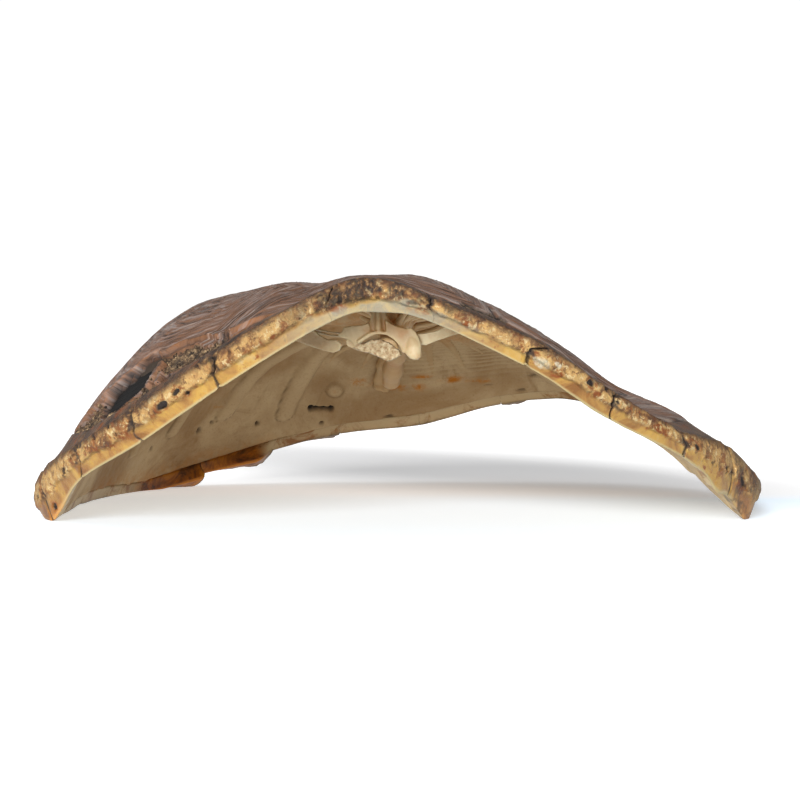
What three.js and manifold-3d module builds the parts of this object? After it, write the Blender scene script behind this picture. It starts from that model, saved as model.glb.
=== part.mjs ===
// Turtle shell: the upper shell (carapace) of a large freshwater turtle, as a standalone three.js model.
//
// Units are millimetres and +Z is up. The head end points to -Y, the tail end to +Y, and the
// animal's left flank lies at -X. The origin is under the middle of the shell, on the ground.
//
// One bone dome carries 38 thin horn plates: 1 cervical, 5 vertebrals, 8 costals and 24 marginals.
// Every surface point is given by two numbers. `t` goes once round the rim and is a whole number
// at each seam between two marginal plates: 0 is the front midline, 1 to 12 are the seams down
// the right flank, 13 is the rear midline and 14 to 25 come back up the left flank. `s` goes from
// 0 on the midline ridge to 1 at the brow, the upper edge of the rim.

import * as THREE from 'three';
import * as BufferGeometryUtils from 'three/addons/utils/BufferGeometryUtils.js';
import Module from 'manifold-3d';

const wasm = await Module();
wasm.setup();

// ---------------------------------------------------------------- driving dimensions (mm)

const SEAMS = 26; // rim divisions, counted once round the shell
const HALF = SEAMS / 2;
const MIDDLE_Y = 5.21; // middle of the shell's length in the coordinates of the tables below

// Brow (upper edge of the rim) at each seam, front midline to rear midline: [x, y, z].
const BROW_RIGHT = [
  [0, -156, 96], [19, -159, 89], [59, -149, 72], [86, -127, 54], [111, -98, 39],
  [132, -64, 31], [147, -26, 15], [151, 20, 9], [148, 62, 10], [138, 102, 20],
  [115, 135, 33], [80, 157, 49], [41, 165, 47], [0, 166, 37],
];
const BROW_LEFT = [
  [0, -156, 96], [-19, -159, 93], [-63, -149, 68], [-96, -127, 47], [-122, -98, 32],
  [-140, -64, 21], [-149, -24, 9], [-151, 20, 6], [-148, 62, 6], [-136, 107, 6],
  [-111, 142, 8], [-75, 160, 19], [-40, 165, 31], [0, 166, 37],
];

// Lip (lower edge of the rim) at the same seams.
const LIP_RIGHT = [
  [0, -154, 84], [18, -157, 80.5], [54.5, -147, 63], [84.5, -125, 43.5], [113, -96, 28],
  [132, -63, 12], [141, -26, 6], [145, 20, 3], [143, 61, 6], [132, 99, 13],
  [111, 131, 25], [77, 153, 41], [40, 160, 39], [0, 161, 29],
];
const LIP_LEFT = [
  [0, -154, 84], [-18, -157, 80.5], [-59.5, -147, 56], [-92, -125, 35], [-120, -96, 19],
  [-133, -64, 5], [-139, -24, 0.6], [-141, 20, 0.3], [-138, 60, 0], [-128, 104, -0.8],
  [-105, 137, 6], [-71, 155, 16.5], [-39, 160, 24.5], [0, 161, 29],
];

// Where the line across the shell at each seam leaves the midline ridge.
const ANCHOR_Y = [-92, -90, -84, -74, -58, -38, -12, 18, 46, 70, 88, 98, 104, 106];

// Cross-section of the dome at each seam: height = (1 - s^fullness)^flare.
const FULLNESS_RIGHT = [2.2, 2.1, 1.8, 1.5, 1.35, 1.25, 1.27, 1.27, 1.3, 1.4, 1.6, 1.8, 2.1, 2.2];
const FULLNESS_LEFT = [2.2, 2.2, 2.3, 2.6, 3.3, 3.4, 3.4, 2.9, 2.7, 2.6, 2.7, 2.5, 2.3, 2.2];
const FLARE_RIGHT = [0.82, 0.84, 0.95, 1.1, 1.2, 1.15, 1.1, 1.15, 1.2, 1.15, 1.05, 0.95, 0.87, 0.82];
const FLARE_LEFT = [0.82, 0.85, 0.9, 0.96, 1.15, 1.25, 1.2, 1, 0.9, 0.82, 0.82, 0.82, 0.82, 0.82];

// Midline ridge: [y, height of its top].
const RIDGE = [[-160, 96], [-92, 97.5], [-58, 98.5], [-12, 98.5], [20, 97.5], [50, 95], [75, 90.5],
  [95, 84.5], [106, 80], [112, 77]];
const RIDGE_ROUNDING = 0.1; // in units of s
// Shallow troughs along the shell, on each side of the vertebral plates and on the flanks; a negative depth
// is a swelling.
const TROUGHS = [
  { x: -60, width: 18, depth: 2.5 },
  { x: -30, width: 11, depth: 3 },
  { x: 30, width: 11, depth: 1 },
  { x: 86, width: 14, depth: 2.5 },
  { x: 116, width: 12, depth: -3 },
];

// Horn plates.
const HORN = 1.5; // thickness of a plate
const BONE_GAP = 0.4; // between plate and bone
const LIP_GAP = 0.8; // between plate and bone under the lip
const PLATE_GAP = 0.4; // between two plates
const RIM_BULGE = 1.2; // the rim's face is slightly round
const UNDERSIDE_RETURN = 5; // how far a marginal plate turns in under the lip
const RIM_STEPS = 2; // divisions of one marginal plate along the rim

// Width of the marginal plates' upper face at each seam, measured over the shell from the brow.
const MARGINAL_WIDTH = [5, 5, 5, 5.5, 8, 17, 25, 29, 30, 31, 31, 31, 31, 31];

const TOOTH_ROOT = 0.4; // how much of a tooth the brow and the lip take part in

// Pointed rear corners of the marginal plates, by plate number, as how far each stands out.
const TEETH = { 7: 2, 8: 4, 9: 6, 10: 8, 11: 8, 12: 6 };
// Two of them on the left flank also hang below the lip: how far at the rear corner.
const HANGING_LEFT = { 9: 4.5, 10: 8 };
// Lower corners that the shell stands on: place along the rim, width in units of t, and how far the
// lip moves there.
const FEET = [
  { t: 20.9, width: 0.4, move: new THREE.Vector3(-0.5, -4, -7) }, // blunt, left flank
  { t: 5.5, width: 0.38, move: new THREE.Vector3(4.5, 2, -11.5) }, // pointed, right flank
];

// Bone wall.
const WALL = 6; // thickness over most of the dome
const WALL_BLEND = 3; // power of s by which the wall takes the rim's thickness
const RIB_HEIGHT = 1.8; // low ribs on the inner face
const RIB_SEAMS = [4, 5, 6, 7, 8, 9, 10, 11];
const RIB_END = 0.78; // in units of s
const DOME_RINGS = 7;
const BONE_TURN = DOME_RINGS + 5; // outer rings, middle of the marginal plates, rim face and step

// Vertebral column under the ridge: [x, y, z of its middle, radius].
const COLUMN = [[0, -124, 70, 4.6], [0, -100, 73, 5], [0, -60, 79, 5], [0, -12, 81, 5], [-1, 30, 79.5, 5],
  [-3, 65, 74, 5], [-5, 92, 65, 5], [-8, 112, 54.5, 4.8], [-8, 118, 52, 3]];
const NEURAL_ARCH = { x: 2.2, y: 4.5, root: 2 }; // half sizes of one arch, and how deep it roots
const ARCH_SEAMS = [2, 3, 4, 5, 6, 7, 8, 9, 10]; // one vertebra where each of these lines starts
const RIB_HEAD = { s: 0.19, radius: 1.7, root: 2 };

// First vertebra of the trunk, seen at the front opening.
const FIRST_SPINE = { y: -118, halfWidth: 2.6, halfDepth: 3, bottom: 70 };
const WINGS = [
  [[-3, -118, 75, 4], [-10, -118, 75.5, 3.6], [-18, -117, 73, 1.6]],
  [[3, -118, 75, 4], [9, -119, 72, 4.4], [9.5, -119, 67.5, 3.2]],
];
const FIRST_RIBS = [
  { rod: [[-2, -118, 70, 2.6], [-20, -116, 69.5, 2], [-36, -112, 73.5, 2.2]], end: [0.6, 23.9] },
  { rod: [[2, -118, 70, 2.6], [18, -116, 71.5, 2], [30, -112, 75.5, 2.2]], end: [0.6, 2.1] },
];
const FIRST_RIB_ROOT = { depth: 1.4, radius: 2.4 }; // where a first rib joins the wall

// Plan corners of the seams between the central plates, for each side: [x, y].
const VERTEBRAL_SEAM_Y = [-90, -34, 22, 76]; // plates 1/2, 2/3, 3/4 and 4/5, on the midline
const VERTEBRAL_CORNERS = {
  left: [[-66, -146], [-32, -90], [-46, -62], [-30, -34], [-44, -6], [-28, 22], [-40, 49], [-24, 76]],
  right: [[43, -152], [31, -90], [44, -62], [29, -34], [42, -6], [27, 22], [38, 49], [23, 76]],
};
const COSTAL_SEAM_T = [5.4, 7.4, 9.5, 11.5]; // where plates 1/2, 2/3, 3/4 and 4/vertebral 5 meet the rim
const FRONT_CORNER_T = { left: 2, right: 1.6 }; // where the seam between the first plates meets the rim
const SEAM_BOW = 3;
const AHEAD = [0, -230]; // a plan point well in front of the shell
const BEYOND = 1.35; // outlines run past the rim, which itself ends the plates there

const COLORS = {
  bone: 0xb6aa95, vertebral: 0x5b4a3f, costal: 0x63503f, marginal: 0xc79a4e, cervical: 0xcdb184,
};

// ---------------------------------------------------------------- surface of the shell

/** Joins the values of the two flanks into one list that goes once round the rim. */
function roundRim(left, right) {
  return [...right.slice(0, HALF + 1), ...left.slice(1, HALF).reverse()];
}

const brow = roundRim(BROW_LEFT, BROW_RIGHT);
const lip = roundRim(LIP_LEFT, LIP_RIGHT);
const anchorY = roundRim(ANCHOR_Y, ANCHOR_Y);
const fullness = roundRim(FULLNESS_LEFT, FULLNESS_RIGHT);
const flare = roundRim(FLARE_LEFT, FLARE_RIGHT);
const marginalWidth = roundRim(MARGINAL_WIDTH, MARGINAL_WIDTH);

/** Smooth periodic value at t, through the listed values (Catmull-Rom). */
function smooth(values, t) {
  const cell = Math.floor(t);
  const f = t - cell;
  const [a, b, c, d] = [-1, 0, 1, 2].map((k) => values[(cell + k + 2 * SEAMS) % SEAMS]);
  return 0.5 * (2 * b + (c - a) * f + (2 * a - 5 * b + 4 * c - d) * f * f + (3 * b - a - 3 * c + d) * f ** 3);
}

function smoothPoint(points, t) {
  const axis = (k) => smooth(points.map((point) => point[k]), t);
  return new THREE.Vector3(axis(0), axis(1), axis(2));
}

/** Height of the midline ridge at y. */
function ridgeHeight(y) {
  const after = Math.max(1, RIDGE.findIndex(([ry]) => ry >= y));
  const [y0, z0] = RIDGE[after - 1];
  const [y1, z1] = RIDGE[after];
  return THREE.MathUtils.mapLinear(THREE.MathUtils.clamp(y, y0, y1), y0, y1, z0, z1);
}

/** Gaussian bump of height 1. */
function bump(value, middle, width) {
  return Math.exp(-(((value - middle) / width) ** 2));
}

/** Point on the outer face of the shell. */
function outer(s, t) {
  const edge = smoothPoint(brow, t);
  const ay = smooth(anchorY, t);
  const x = edge.x * s;
  const y = ay + (edge.y - ay) * s;
  const clamped = THREE.MathUtils.clamp(s, 0, 1);
  const round = (Math.hypot(clamped, RIDGE_ROUNDING) - RIDGE_ROUNDING)
    / (Math.hypot(1, RIDGE_ROUNDING) - RIDGE_ROUNDING);
  const rise = (1 - round ** smooth(fullness, t)) ** smooth(flare, t);
  const depth = TROUGHS.reduce((sum, trough) => sum + trough.depth * bump(x, trough.x, trough.width), 0);
  const hollow = depth * THREE.MathUtils.clamp(4 * (1 - s), 0, 1);
  return new THREE.Vector3(x, y, edge.z + (ridgeHeight(ay) - edge.z) * rise - hollow);
}

/** Unit vector that points out of the shell. */
function normal(s, t) {
  const step = 0.002;
  if (s < 0.02) {
    const ay = smooth(anchorY, t);
    return new THREE.Vector3(0, ridgeHeight(ay - 2) - ridgeHeight(ay + 2), 4).normalize();
  }
  const at = Math.min(s, 0.97);
  const along = outer(at + step, t).sub(outer(at - step, t));
  const across = outer(at, t + step).sub(outer(at, t - step));
  const result = across.cross(along).normalize();
  return result.z < 0 ? result.negate() : result;
}

/** The rim's section at t: its two edges, the unit vectors up its face and out of it, its height. */
function rim(t) {
  const top = smoothPoint(brow, t);
  const bottom = smoothPoint(lip, t);
  FEET.forEach((foot) => bottom.addScaledVector(foot.move, bump(t, foot.t, foot.width)));
  const up = top.clone().sub(bottom);
  const height = up.length();
  up.normalize();
  const out = outer(1, t).sub(outer(0.97, t));
  out.addScaledVector(up, -out.dot(up)).normalize();
  return { top, bottom, up, out, height };
}

/** Vector from the outer face of the wall to its inner face. */
function wall(s, t) {
  const seamOf = t > HALF ? SEAMS - t : t;
  const isRib = RIB_SEAMS.includes(seamOf);
  const rib = isRib && s < RIB_END ? RIB_HEIGHT * Math.sin((Math.PI * s) / RIB_END) ** 0.5 : 0;
  const blend = Math.min(1, s) ** WALL_BLEND;
  const { up, height } = rim(t);
  return normal(s, t).multiplyScalar(-(WALL + rib) * (1 - blend)).addScaledVector(up, -height * blend);
}

function inner(s, t, rise = 0) {
  const depth = wall(s, t);
  return outer(s, t).add(depth).addScaledVector(depth.clone().normalize(), -rise);
}

/** The s at which the shell is `distance` millimetres in from the brow. */
function inFromBrow(t, distance) {
  return 1 - (distance * 0.03) / outer(1, t).distanceTo(outer(0.97, t));
}

/** The s at which the marginal plates' upper face ends at t. */
function marginalEdge(t) {
  const step = 0.01;
  const width = smooth(marginalWidth, t);
  let s = 1;
  let walked = 0;
  while (walked < width) {
    walked += outer(s, t).distanceTo(outer(s - step, t));
    s -= step;
  }
  return s + ((walked - width) / outer(s, t).distanceTo(outer(s + step, t))) * step;
}

/** Unit vector from the underside of the rim into the wall. */
function intoWall(t) {
  const { bottom, up } = rim(t);
  const inwards = inner(inFromBrow(t, UNDERSIDE_RETURN), t).sub(bottom).normalize();
  return up.addScaledVector(inwards, -up.dot(inwards)).normalize();
}

/** Corner between two faces with unit normals a and b, moved in so that both keep their distance. */
function sunkCorner(corner, a, b, sink) {
  return corner.addScaledVector(a.clone().add(b), -sink / (1 + a.dot(b)));
}

/**
 * Three points down the rim's face, each `sink` below the surface: brow, middle and lip. A tooth
 * stands out by `tooth` and hangs below the lip by `hang`.
 */
function rimFace(t, sinks, tooth = 0, hang = 0) {
  const { top, bottom, up, out } = rim(t);
  const middle = top.clone().lerp(bottom, 0.5).addScaledVector(out, RIM_BULGE - sinks[1] + tooth);
  top.addScaledVector(out, TOOTH_ROOT * tooth);
  bottom.addScaledVector(out, TOOTH_ROOT * tooth).addScaledVector(up, -hang);
  return [
    sunkCorner(top, normal(0.97, t), out, sinks[0]),
    middle,
    sunkCorner(bottom, out, intoWall(t).negate(), sinks[2]),
  ];
}

/** Point of the rim's underside, `distance` in from the lip and `sink` deep in the wall. */
function underside(t, distance, sink) {
  return inner(inFromBrow(t, distance), t).addScaledVector(intoWall(t), sink);
}

// ---------------------------------------------------------------- making closed meshes

/**
 * Triangles between neighbouring rows of points. A row that goes out along one face and comes back
 * along another turns at point `turn`: past it the quads are split the other way, so that two faces
 * over the same stations have the same creases.
 */
function skin(rows, { loop, closed, turn = Infinity }) {
  const positions = [];
  const triangle = (...corners) => corners.forEach((corner) => positions.push(...corner.toArray()));
  const pairs = loop ? rows.length : rows.length - 1;
  for (let j = 0; j < pairs; j += 1) {
    const row = rows[j];
    const next = rows[(j + 1) % rows.length];
    const cells = closed ? row.length : row.length - 1;
    for (let i = 0; i < cells; i += 1) {
      const k = (i + 1) % row.length;
      if (i < turn) {
        triangle(row[i], next[i], next[k]);
        triangle(row[i], next[k], row[k]);
      } else {
        triangle(row[i], next[i], row[k]);
        triangle(next[i], next[k], row[k]);
      }
    }
  }
  return positions;
}

/** Solid of a position list; triangles that have shrunk to a line are left out. */
function solid(positions) {
  const geometry = new THREE.BufferGeometry();
  geometry.setAttribute('position', new THREE.Float32BufferAttribute(positions, 3));
  return solidOfGeometry(geometry);
}

function solidOfGeometry(source) {
  const bare = source.index ? source.toNonIndexed() : source.clone();
  bare.deleteAttribute('normal');
  bare.deleteAttribute('uv');
  const merged = BufferGeometryUtils.mergeVertices(bare, 1e-3);
  const index = merged.index.array;
  const kept = [];
  for (let i = 0; i < index.length; i += 3) {
    const [a, b, c] = [index[i], index[i + 1], index[i + 2]];
    if (a !== b && b !== c && c !== a) {
      kept.push(a, b, c);
    }
  }
  const mesh = new wasm.Mesh({
    numProp: 3,
    vertProperties: new Float32Array(merged.attributes.position.array),
    triVerts: new Uint32Array(kept),
  });
  return new wasm.Manifold(mesh);
}

function geometryOf(manifold) {
  const { vertProperties, triVerts } = manifold.getMesh();
  const geometry = new THREE.BufferGeometry();
  geometry.setAttribute('position', new THREE.BufferAttribute(new Float32Array(vertProperties), 3));
  geometry.setIndex(new THREE.BufferAttribute(new Uint32Array(triVerts), 1));
  return geometry;
}

/** Round rod through [x, y, z, radius] points, with closed ends. */
function rod(points, sides) {
  const middles = points.map(([x, y, z]) => new THREE.Vector3(x, y, z));
  const rows = middles.map((middle, j) => {
    const before = middles[Math.max(j - 1, 0)];
    const after = middles[Math.min(j + 1, middles.length - 1)];
    const along = after.clone().sub(before).normalize();
    const hint = Math.abs(along.z) > 0.8 ? new THREE.Vector3(0, 1, 0) : new THREE.Vector3(0, 0, 1);
    const side = along.clone().cross(hint).normalize();
    const top = side.clone().cross(along);
    return Array.from({ length: sides }, (_, i) => {
      const angle = (2 * Math.PI * i) / sides;
      return middle.clone()
        .addScaledVector(side, points[j][3] * Math.cos(angle))
        .addScaledVector(top, points[j][3] * Math.sin(angle));
    });
  });
  const positions = skin(rows, { loop: false, closed: true });
  const last = rows.length - 1;
  for (let i = 0; i < sides; i += 1) {
    const k = (i + 1) % sides;
    positions.push(...middles[0].toArray(), ...rows[0][i].toArray(), ...rows[0][k].toArray());
    positions.push(...middles[last].toArray(), ...rows[last][k].toArray(), ...rows[last][i].toArray());
  }
  return solid(outwards(positions));
}

/** Turns a closed triangle list inside out where it encloses a negative volume. */
function outwards(positions) {
  let volume = 0;
  const corner = (i) => new THREE.Vector3().fromArray(positions, 3 * i);
  for (let i = 0; i < positions.length / 3; i += 3) {
    volume += corner(i).dot(corner(i + 1).cross(corner(i + 2)));
  }
  if (volume >= 0) {
    return positions;
  }
  const turned = [];
  for (let i = 0; i < positions.length; i += 9) {
    const [a, b, c] = [0, 3, 6].map((k) => positions.slice(i + k, i + k + 3));
    turned.push(...a, ...c, ...b);
  }
  return turned;
}

/** Upright prism over a plan outline, taller than the shell. */
function prism(outline) {
  const shape = new THREE.Shape(outline.map(([x, y]) => new THREE.Vector2(x, y)));
  const geometry = new THREE.ExtrudeGeometry(shape, { depth: 200, bevelEnabled: false, steps: 1 });
  geometry.translate(0, 0, -50);
  return solidOfGeometry(geometry);
}

/** Outline with every side moved in by `distance`; the outline runs anticlockwise. */
function inset(outline, distance) {
  const points = outline.map(([x, y]) => new THREE.Vector2(x, y));
  if (THREE.ShapeUtils.area(points) < 0) {
    points.reverse();
  }
  return points.map((point, i) => {
    const before = point.clone().sub(points[(i + points.length - 1) % points.length]).normalize();
    const after = points[(i + 1) % points.length].clone().sub(point).normalize();
    const bisector = before.clone().add(after).normalize();
    const inwards = new THREE.Vector2(-bisector.y, bisector.x);
    const stretch = distance / Math.max(0.3, inwards.dot(new THREE.Vector2(-before.y, before.x)));
    return [point.x + inwards.x * stretch, point.y + inwards.y * stretch];
  });
}

const ground = new THREE.BoxGeometry(500, 500, 100);
ground.translate(0, 0, -50);
const belowGround = solidOfGeometry(ground);

// ---------------------------------------------------------------- bone

const stations = Array.from({ length: SEAMS * RIM_STEPS }, (_, j) => j / RIM_STEPS);

/** Rings of s from the midline to the marginal plates' inner edge. */
function domeRings(t, end) {
  return Array.from({ length: DOME_RINGS }, (_, i) => (end * i) / (DOME_RINGS - 1));
}

/**
 * Dome wall: its outer face lies under the horn, and its inner face carries the ribs. Its rows
 * start and end on the midline, where the rows of the other flank meet them.
 */
function boneDome() {
  const sink = HORN + BONE_GAP;
  const deep = HORN + LIP_GAP;
  const rows = stations.map((t) => {
    const edge = marginalEdge(t);
    const under = inFromBrow(t, UNDERSIDE_RETURN + PLATE_GAP);
    const top = [...domeRings(t, edge), (1 + edge) / 2];
    const below = domeRings(t, under - 0.01).reverse();
    return [
      ...top.map((s) => outer(s, t).addScaledVector(normal(s, t), -sink)),
      ...rimFace(t, [sink, sink, deep]),
      underside(t, UNDERSIDE_RETURN + PLATE_GAP, deep),
      ...below.map((s) => inner(s, t)),
    ];
  });
  return solid(outwards(skin(rows, { loop: true, closed: false, turn: BONE_TURN })));
}

/** Middle and radius of the column at y. */
function columnAt(y) {
  const after = Math.max(1, COLUMN.findIndex((point) => point[1] >= y));
  const [p, q] = [COLUMN[after - 1], COLUMN[after]];
  return p.map((value, k) => THREE.MathUtils.mapLinear(y, p[1], q[1], value, q[k]));
}

/** Column, its arches up to the ridge, and the pair of rib heads of each vertebra. */
function columnSolids() {
  const solids = [rod(COLUMN, 8)];
  ARCH_SEAMS.forEach((seam) => {
    const y = ANCHOR_Y[seam];
    const [x, , z] = columnAt(y);
    const roof = ridgeHeight(y) - WALL + NEURAL_ARCH.root;
    const arch = new THREE.BoxGeometry(2 * NEURAL_ARCH.x, 2 * NEURAL_ARCH.y, roof - z);
    arch.translate(x / 2, y, (roof + z) / 2);
    solids.push(solidOfGeometry(arch));
    [seam, SEAMS - seam].forEach((t) => {
      const root = inner(RIB_HEAD.s, t, RIB_HEAD.root).toArray();
      solids.push(rod([[x, y, z, RIB_HEAD.radius], [...root, RIB_HEAD.radius + 0.5]], 5));
    });
  });
  return solids;
}

function firstVertebraSolids() {
  const { y, halfWidth, halfDepth, bottom } = FIRST_SPINE;
  const roof = ridgeHeight(y) - WALL + 1;
  const spine = new THREE.BoxGeometry(2 * halfWidth, 2 * halfDepth, roof - bottom);
  spine.translate(0, y, (roof + bottom) / 2);
  const ribs = FIRST_RIBS.map(({ rod: points, end: [s, t] }) => {
    const root = [...inner(s, t, FIRST_RIB_ROOT.depth).toArray(), FIRST_RIB_ROOT.radius];
    return rod([...points, root], 6);
  });
  return [solidOfGeometry(spine), ...WINGS.map((wing) => rod(wing, 6)), ...ribs];
}

// ---------------------------------------------------------------- horn

/** Layer of horn over the dome, up to the marginal plates' inner edge. */
function domeHorn() {
  const rows = stations.map((t) => {
    const length = outer(1, t).distanceTo(outer(0.97, t)) / 0.03;
    const rings = domeRings(t, marginalEdge(t) - PLATE_GAP / length);
    return [
      ...rings.map((s) => outer(s, t)),
      ...rings.reverse().map((s) => outer(s, t).addScaledVector(normal(s, t), -HORN)),
    ];
  });
  return solid(outwards(skin(rows, { loop: true, closed: false, turn: DOME_RINGS })));
}

/** How far the rim of a marginal plate stands out at t. */
function toothAt(t, plate) {
  const height = TEETH[plate] ?? 0;
  const along = t > HALF ? SEAMS - t - plate : t - plate;
  return height * THREE.MathUtils.clamp(along, 0, 1) ** 2;
}

/** How far the lip of a marginal plate hangs down at t. */
function hangAt(t, plate) {
  const height = t > HALF ? (HANGING_LEFT[plate] ?? 0) : 0;
  return height * THREE.MathUtils.clamp(SEAMS - t - plate, 0, 1);
}

/** Plate that wraps the rim from `from` to `to`. */
function rimPlate(from, to, plate) {
  const length = outer(1, from).distanceTo(outer(0.97, from)) / 0.03;
  const chord = smoothPoint(brow, from).distanceTo(smoothPoint(brow, to));
  const half = PLATE_GAP / 2 / chord;
  const steps = Math.round((to - from) * RIM_STEPS);
  const rows = Array.from({ length: steps + 1 }, (_, j) => {
    const t = THREE.MathUtils.lerp(from + half * (to - from), to - half * (to - from), j / steps);
    const around = (t + SEAMS) % SEAMS;
    const edge = marginalEdge(around) + PLATE_GAP / 4 / length;
    const top = [edge, (1 + edge) / 2];
    const tooth = toothAt(around, plate);
    const hang = hangAt(around, plate);
    return [
      ...top.map((s) => outer(s, around)),
      ...rimFace(around, [0, 0, 0], tooth, hang),
      underside(around, UNDERSIDE_RETURN, 0),
      underside(around, UNDERSIDE_RETURN, HORN),
      ...rimFace(around, [HORN, HORN, HORN]).reverse(),
      ...top.slice().reverse().map((s) => outer(s, around).addScaledVector(normal(s, around), -HORN)),
    ];
  });
  const count = rows[0].length;
  const positions = skin(rows, { loop: false, closed: true, turn: count / 2 });
  [rows[0], rows[rows.length - 1]].forEach((row, end) => {
    for (let i = 0; i < count / 2 - 1; i += 1) {
      const quad = [row[i], row[i + 1], row[count - 2 - i], row[count - 1 - i]];
      const order = end === 0 ? [0, 1, 2, 0, 2, 3] : [0, 2, 1, 0, 3, 2];
      order.forEach((k) => positions.push(...quad[k].toArray()));
    }
  });
  return solid(outwards(positions));
}

/** Plan point where the line across the shell at t crosses s. */
function planPoint(s, t) {
  const point = outer(1, t);
  const ay = smooth(anchorY, t);
  return [point.x * s, ay + (point.y - ay) * s];
}

/** Plan outline of a run of rim, well outside the plates. */
function beyondRim(from, to) {
  const steps = 6;
  return Array.from({ length: steps + 1 }, (_, i) => {
    const t = THREE.MathUtils.lerp(from, to, i / steps);
    return planPoint(BEYOND, (t + SEAMS) % SEAMS);
  });
}

/** Middle of the seam behind vertebral plate k, which bows a little towards the head. */
function seamMiddle(k) {
  return [0, VERTEBRAL_SEAM_Y[k] - SEAM_BOW];
}

function vertebralOutlines() {
  const { left, right } = VERTEBRAL_CORNERS;
  const outlines = [];
  const frontLeft = planPoint(BEYOND, SEAMS - FRONT_CORNER_T.left);
  const frontRight = planPoint(BEYOND, FRONT_CORNER_T.right);
  outlines.push([left[1], left[0], frontLeft, AHEAD, frontRight, right[0], right[1], seamMiddle(0)]);
  for (let k = 0; k < 3; k += 1) {
    const first = 1 + 2 * k;
    const leftSide = left.slice(first, first + 3);
    const rightSide = right.slice(first, first + 3).reverse();
    outlines.push([...leftSide, seamMiddle(k + 1), ...rightSide, seamMiddle(k)]);
  }
  const rear = COSTAL_SEAM_T[3];
  outlines.push([right[7], seamMiddle(3), left[7], ...beyondRim(SEAMS - rear, rear)]);
  return outlines;
}

function costalOutlines(side) {
  const corners = VERTEBRAL_CORNERS[side];
  const onRim = (t) => (side === 'left' ? SEAMS - t : t);
  const ends = [FRONT_CORNER_T[side], ...COSTAL_SEAM_T];
  return [0, 1, 2, 3].map((k) => {
    const inside = k === 0 ? [corners[0], corners[1], corners[2]] : [corners[2 * k], corners[2 * k + 1]];
    if (k > 0 && k < 3) {
      inside.push(corners[2 * k + 2]);
    }
    return [...inside.reverse(), ...beyondRim(onRim(ends[k]), onRim(ends[k + 1]))];
  });
}

// ---------------------------------------------------------------- the object

function material(color, roughness) {
  return new THREE.MeshStandardMaterial({ color, roughness, metalness: 0 });
}

const shell = new THREE.Group();
shell.position.set(0, -MIDDLE_Y, 0);

function addPiece(name, manifold, color, roughness = 0.6) {
  const mesh = new THREE.Mesh(geometryOf(manifold.subtract(belowGround)), material(color, roughness));
  mesh.name = name;
  shell.add(mesh);
}

const spineSolids = [...columnSolids(), ...firstVertebraSolids()];
const bone = spineSolids.reduce((whole, piece) => whole.add(piece), boneDome());
addPiece('carapace_bone', bone, COLORS.bone, 0.7);

const horn = domeHorn();

function addDomePlate(name, outline, color) {
  addPiece(name, horn.intersect(prism(inset(outline, PLATE_GAP / 2))), color);
}

vertebralOutlines().forEach((outline, k) => {
  addDomePlate(`vertebral_scute_${k + 1}`, outline, COLORS.vertebral);
});
['left', 'right'].forEach((side) => {
  costalOutlines(side).forEach((outline, k) => {
    addDomePlate(`costal_scute_${side}_${k + 1}`, outline, COLORS.costal);
  });
});

addPiece('cervical_scute', rimPlate(-1, 1, 0), COLORS.cervical);
for (let plate = 1; plate < HALF; plate += 1) {
  const mirrored = SEAMS - plate;
  addPiece(`marginal_scute_right_${plate}`, rimPlate(plate, plate + 1, plate), COLORS.marginal);
  addPiece(`marginal_scute_left_${plate}`, rimPlate(mirrored - 1, mirrored, plate), COLORS.marginal);
}

export default shell;
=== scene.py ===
"""Turtle shell: bone dome with its first vertebra, 38 horn plates, finishes, floor, light and camera.

Lengths in the shell's own tables are millimetres; every Blender mesh is in metres, in the frame of the
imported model. Each surface point has two numbers: `t` counts the rim seams once round the shell (0 front
midline, 13 rear midline) and `s` runs from 0 on the midline ridge to 1 at the brow, the rim's upper edge.
"""

import logging
import math
from dataclasses import dataclass, field
from enum import Enum
from typing import Sequence

import bmesh
import bpy
import numpy as np
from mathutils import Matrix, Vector, kdtree


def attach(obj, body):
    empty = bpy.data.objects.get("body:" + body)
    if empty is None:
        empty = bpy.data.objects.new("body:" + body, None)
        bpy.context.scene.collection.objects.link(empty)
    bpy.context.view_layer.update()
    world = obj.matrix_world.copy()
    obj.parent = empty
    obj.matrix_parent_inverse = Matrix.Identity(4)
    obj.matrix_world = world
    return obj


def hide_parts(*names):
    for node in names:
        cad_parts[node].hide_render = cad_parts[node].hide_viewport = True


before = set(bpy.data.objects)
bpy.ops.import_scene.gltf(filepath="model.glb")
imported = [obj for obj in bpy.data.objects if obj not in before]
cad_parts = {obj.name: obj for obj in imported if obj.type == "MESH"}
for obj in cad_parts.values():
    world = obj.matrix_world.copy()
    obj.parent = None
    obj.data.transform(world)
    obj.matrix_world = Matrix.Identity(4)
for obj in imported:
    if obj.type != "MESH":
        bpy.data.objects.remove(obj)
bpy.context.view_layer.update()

LOG = logging.getLogger("turtle_shell")
Array = np.ndarray
Colour = tuple[float, float, float]
Socket = bpy.types.NodeSocket

SEAMS = 26
HALF = 13
MIDDLE = np.array([0.0, 5.21, 0.0])
MM = 0.001


# ---------------------------------------------------------------- small helpers


def unit(v: Array) -> Array:
    """Vectors of length one along the last axis."""
    return v / np.maximum(np.linalg.norm(v, axis=-1, keepdims=True), 1e-9)


def step(low: float, high: float, x: Array) -> Array:
    """Smooth step from 0 at `low` to 1 at `high`."""
    f = np.clip((x - low) / (high - low), 0.0, 1.0)
    return f * f * (3 - 2 * f)


def bell(x: Array, at: float | Array, width: float) -> Array:
    """Bell curve of height 1 round `at`."""
    return np.exp(-(((x - at) / width) ** 2))


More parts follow.
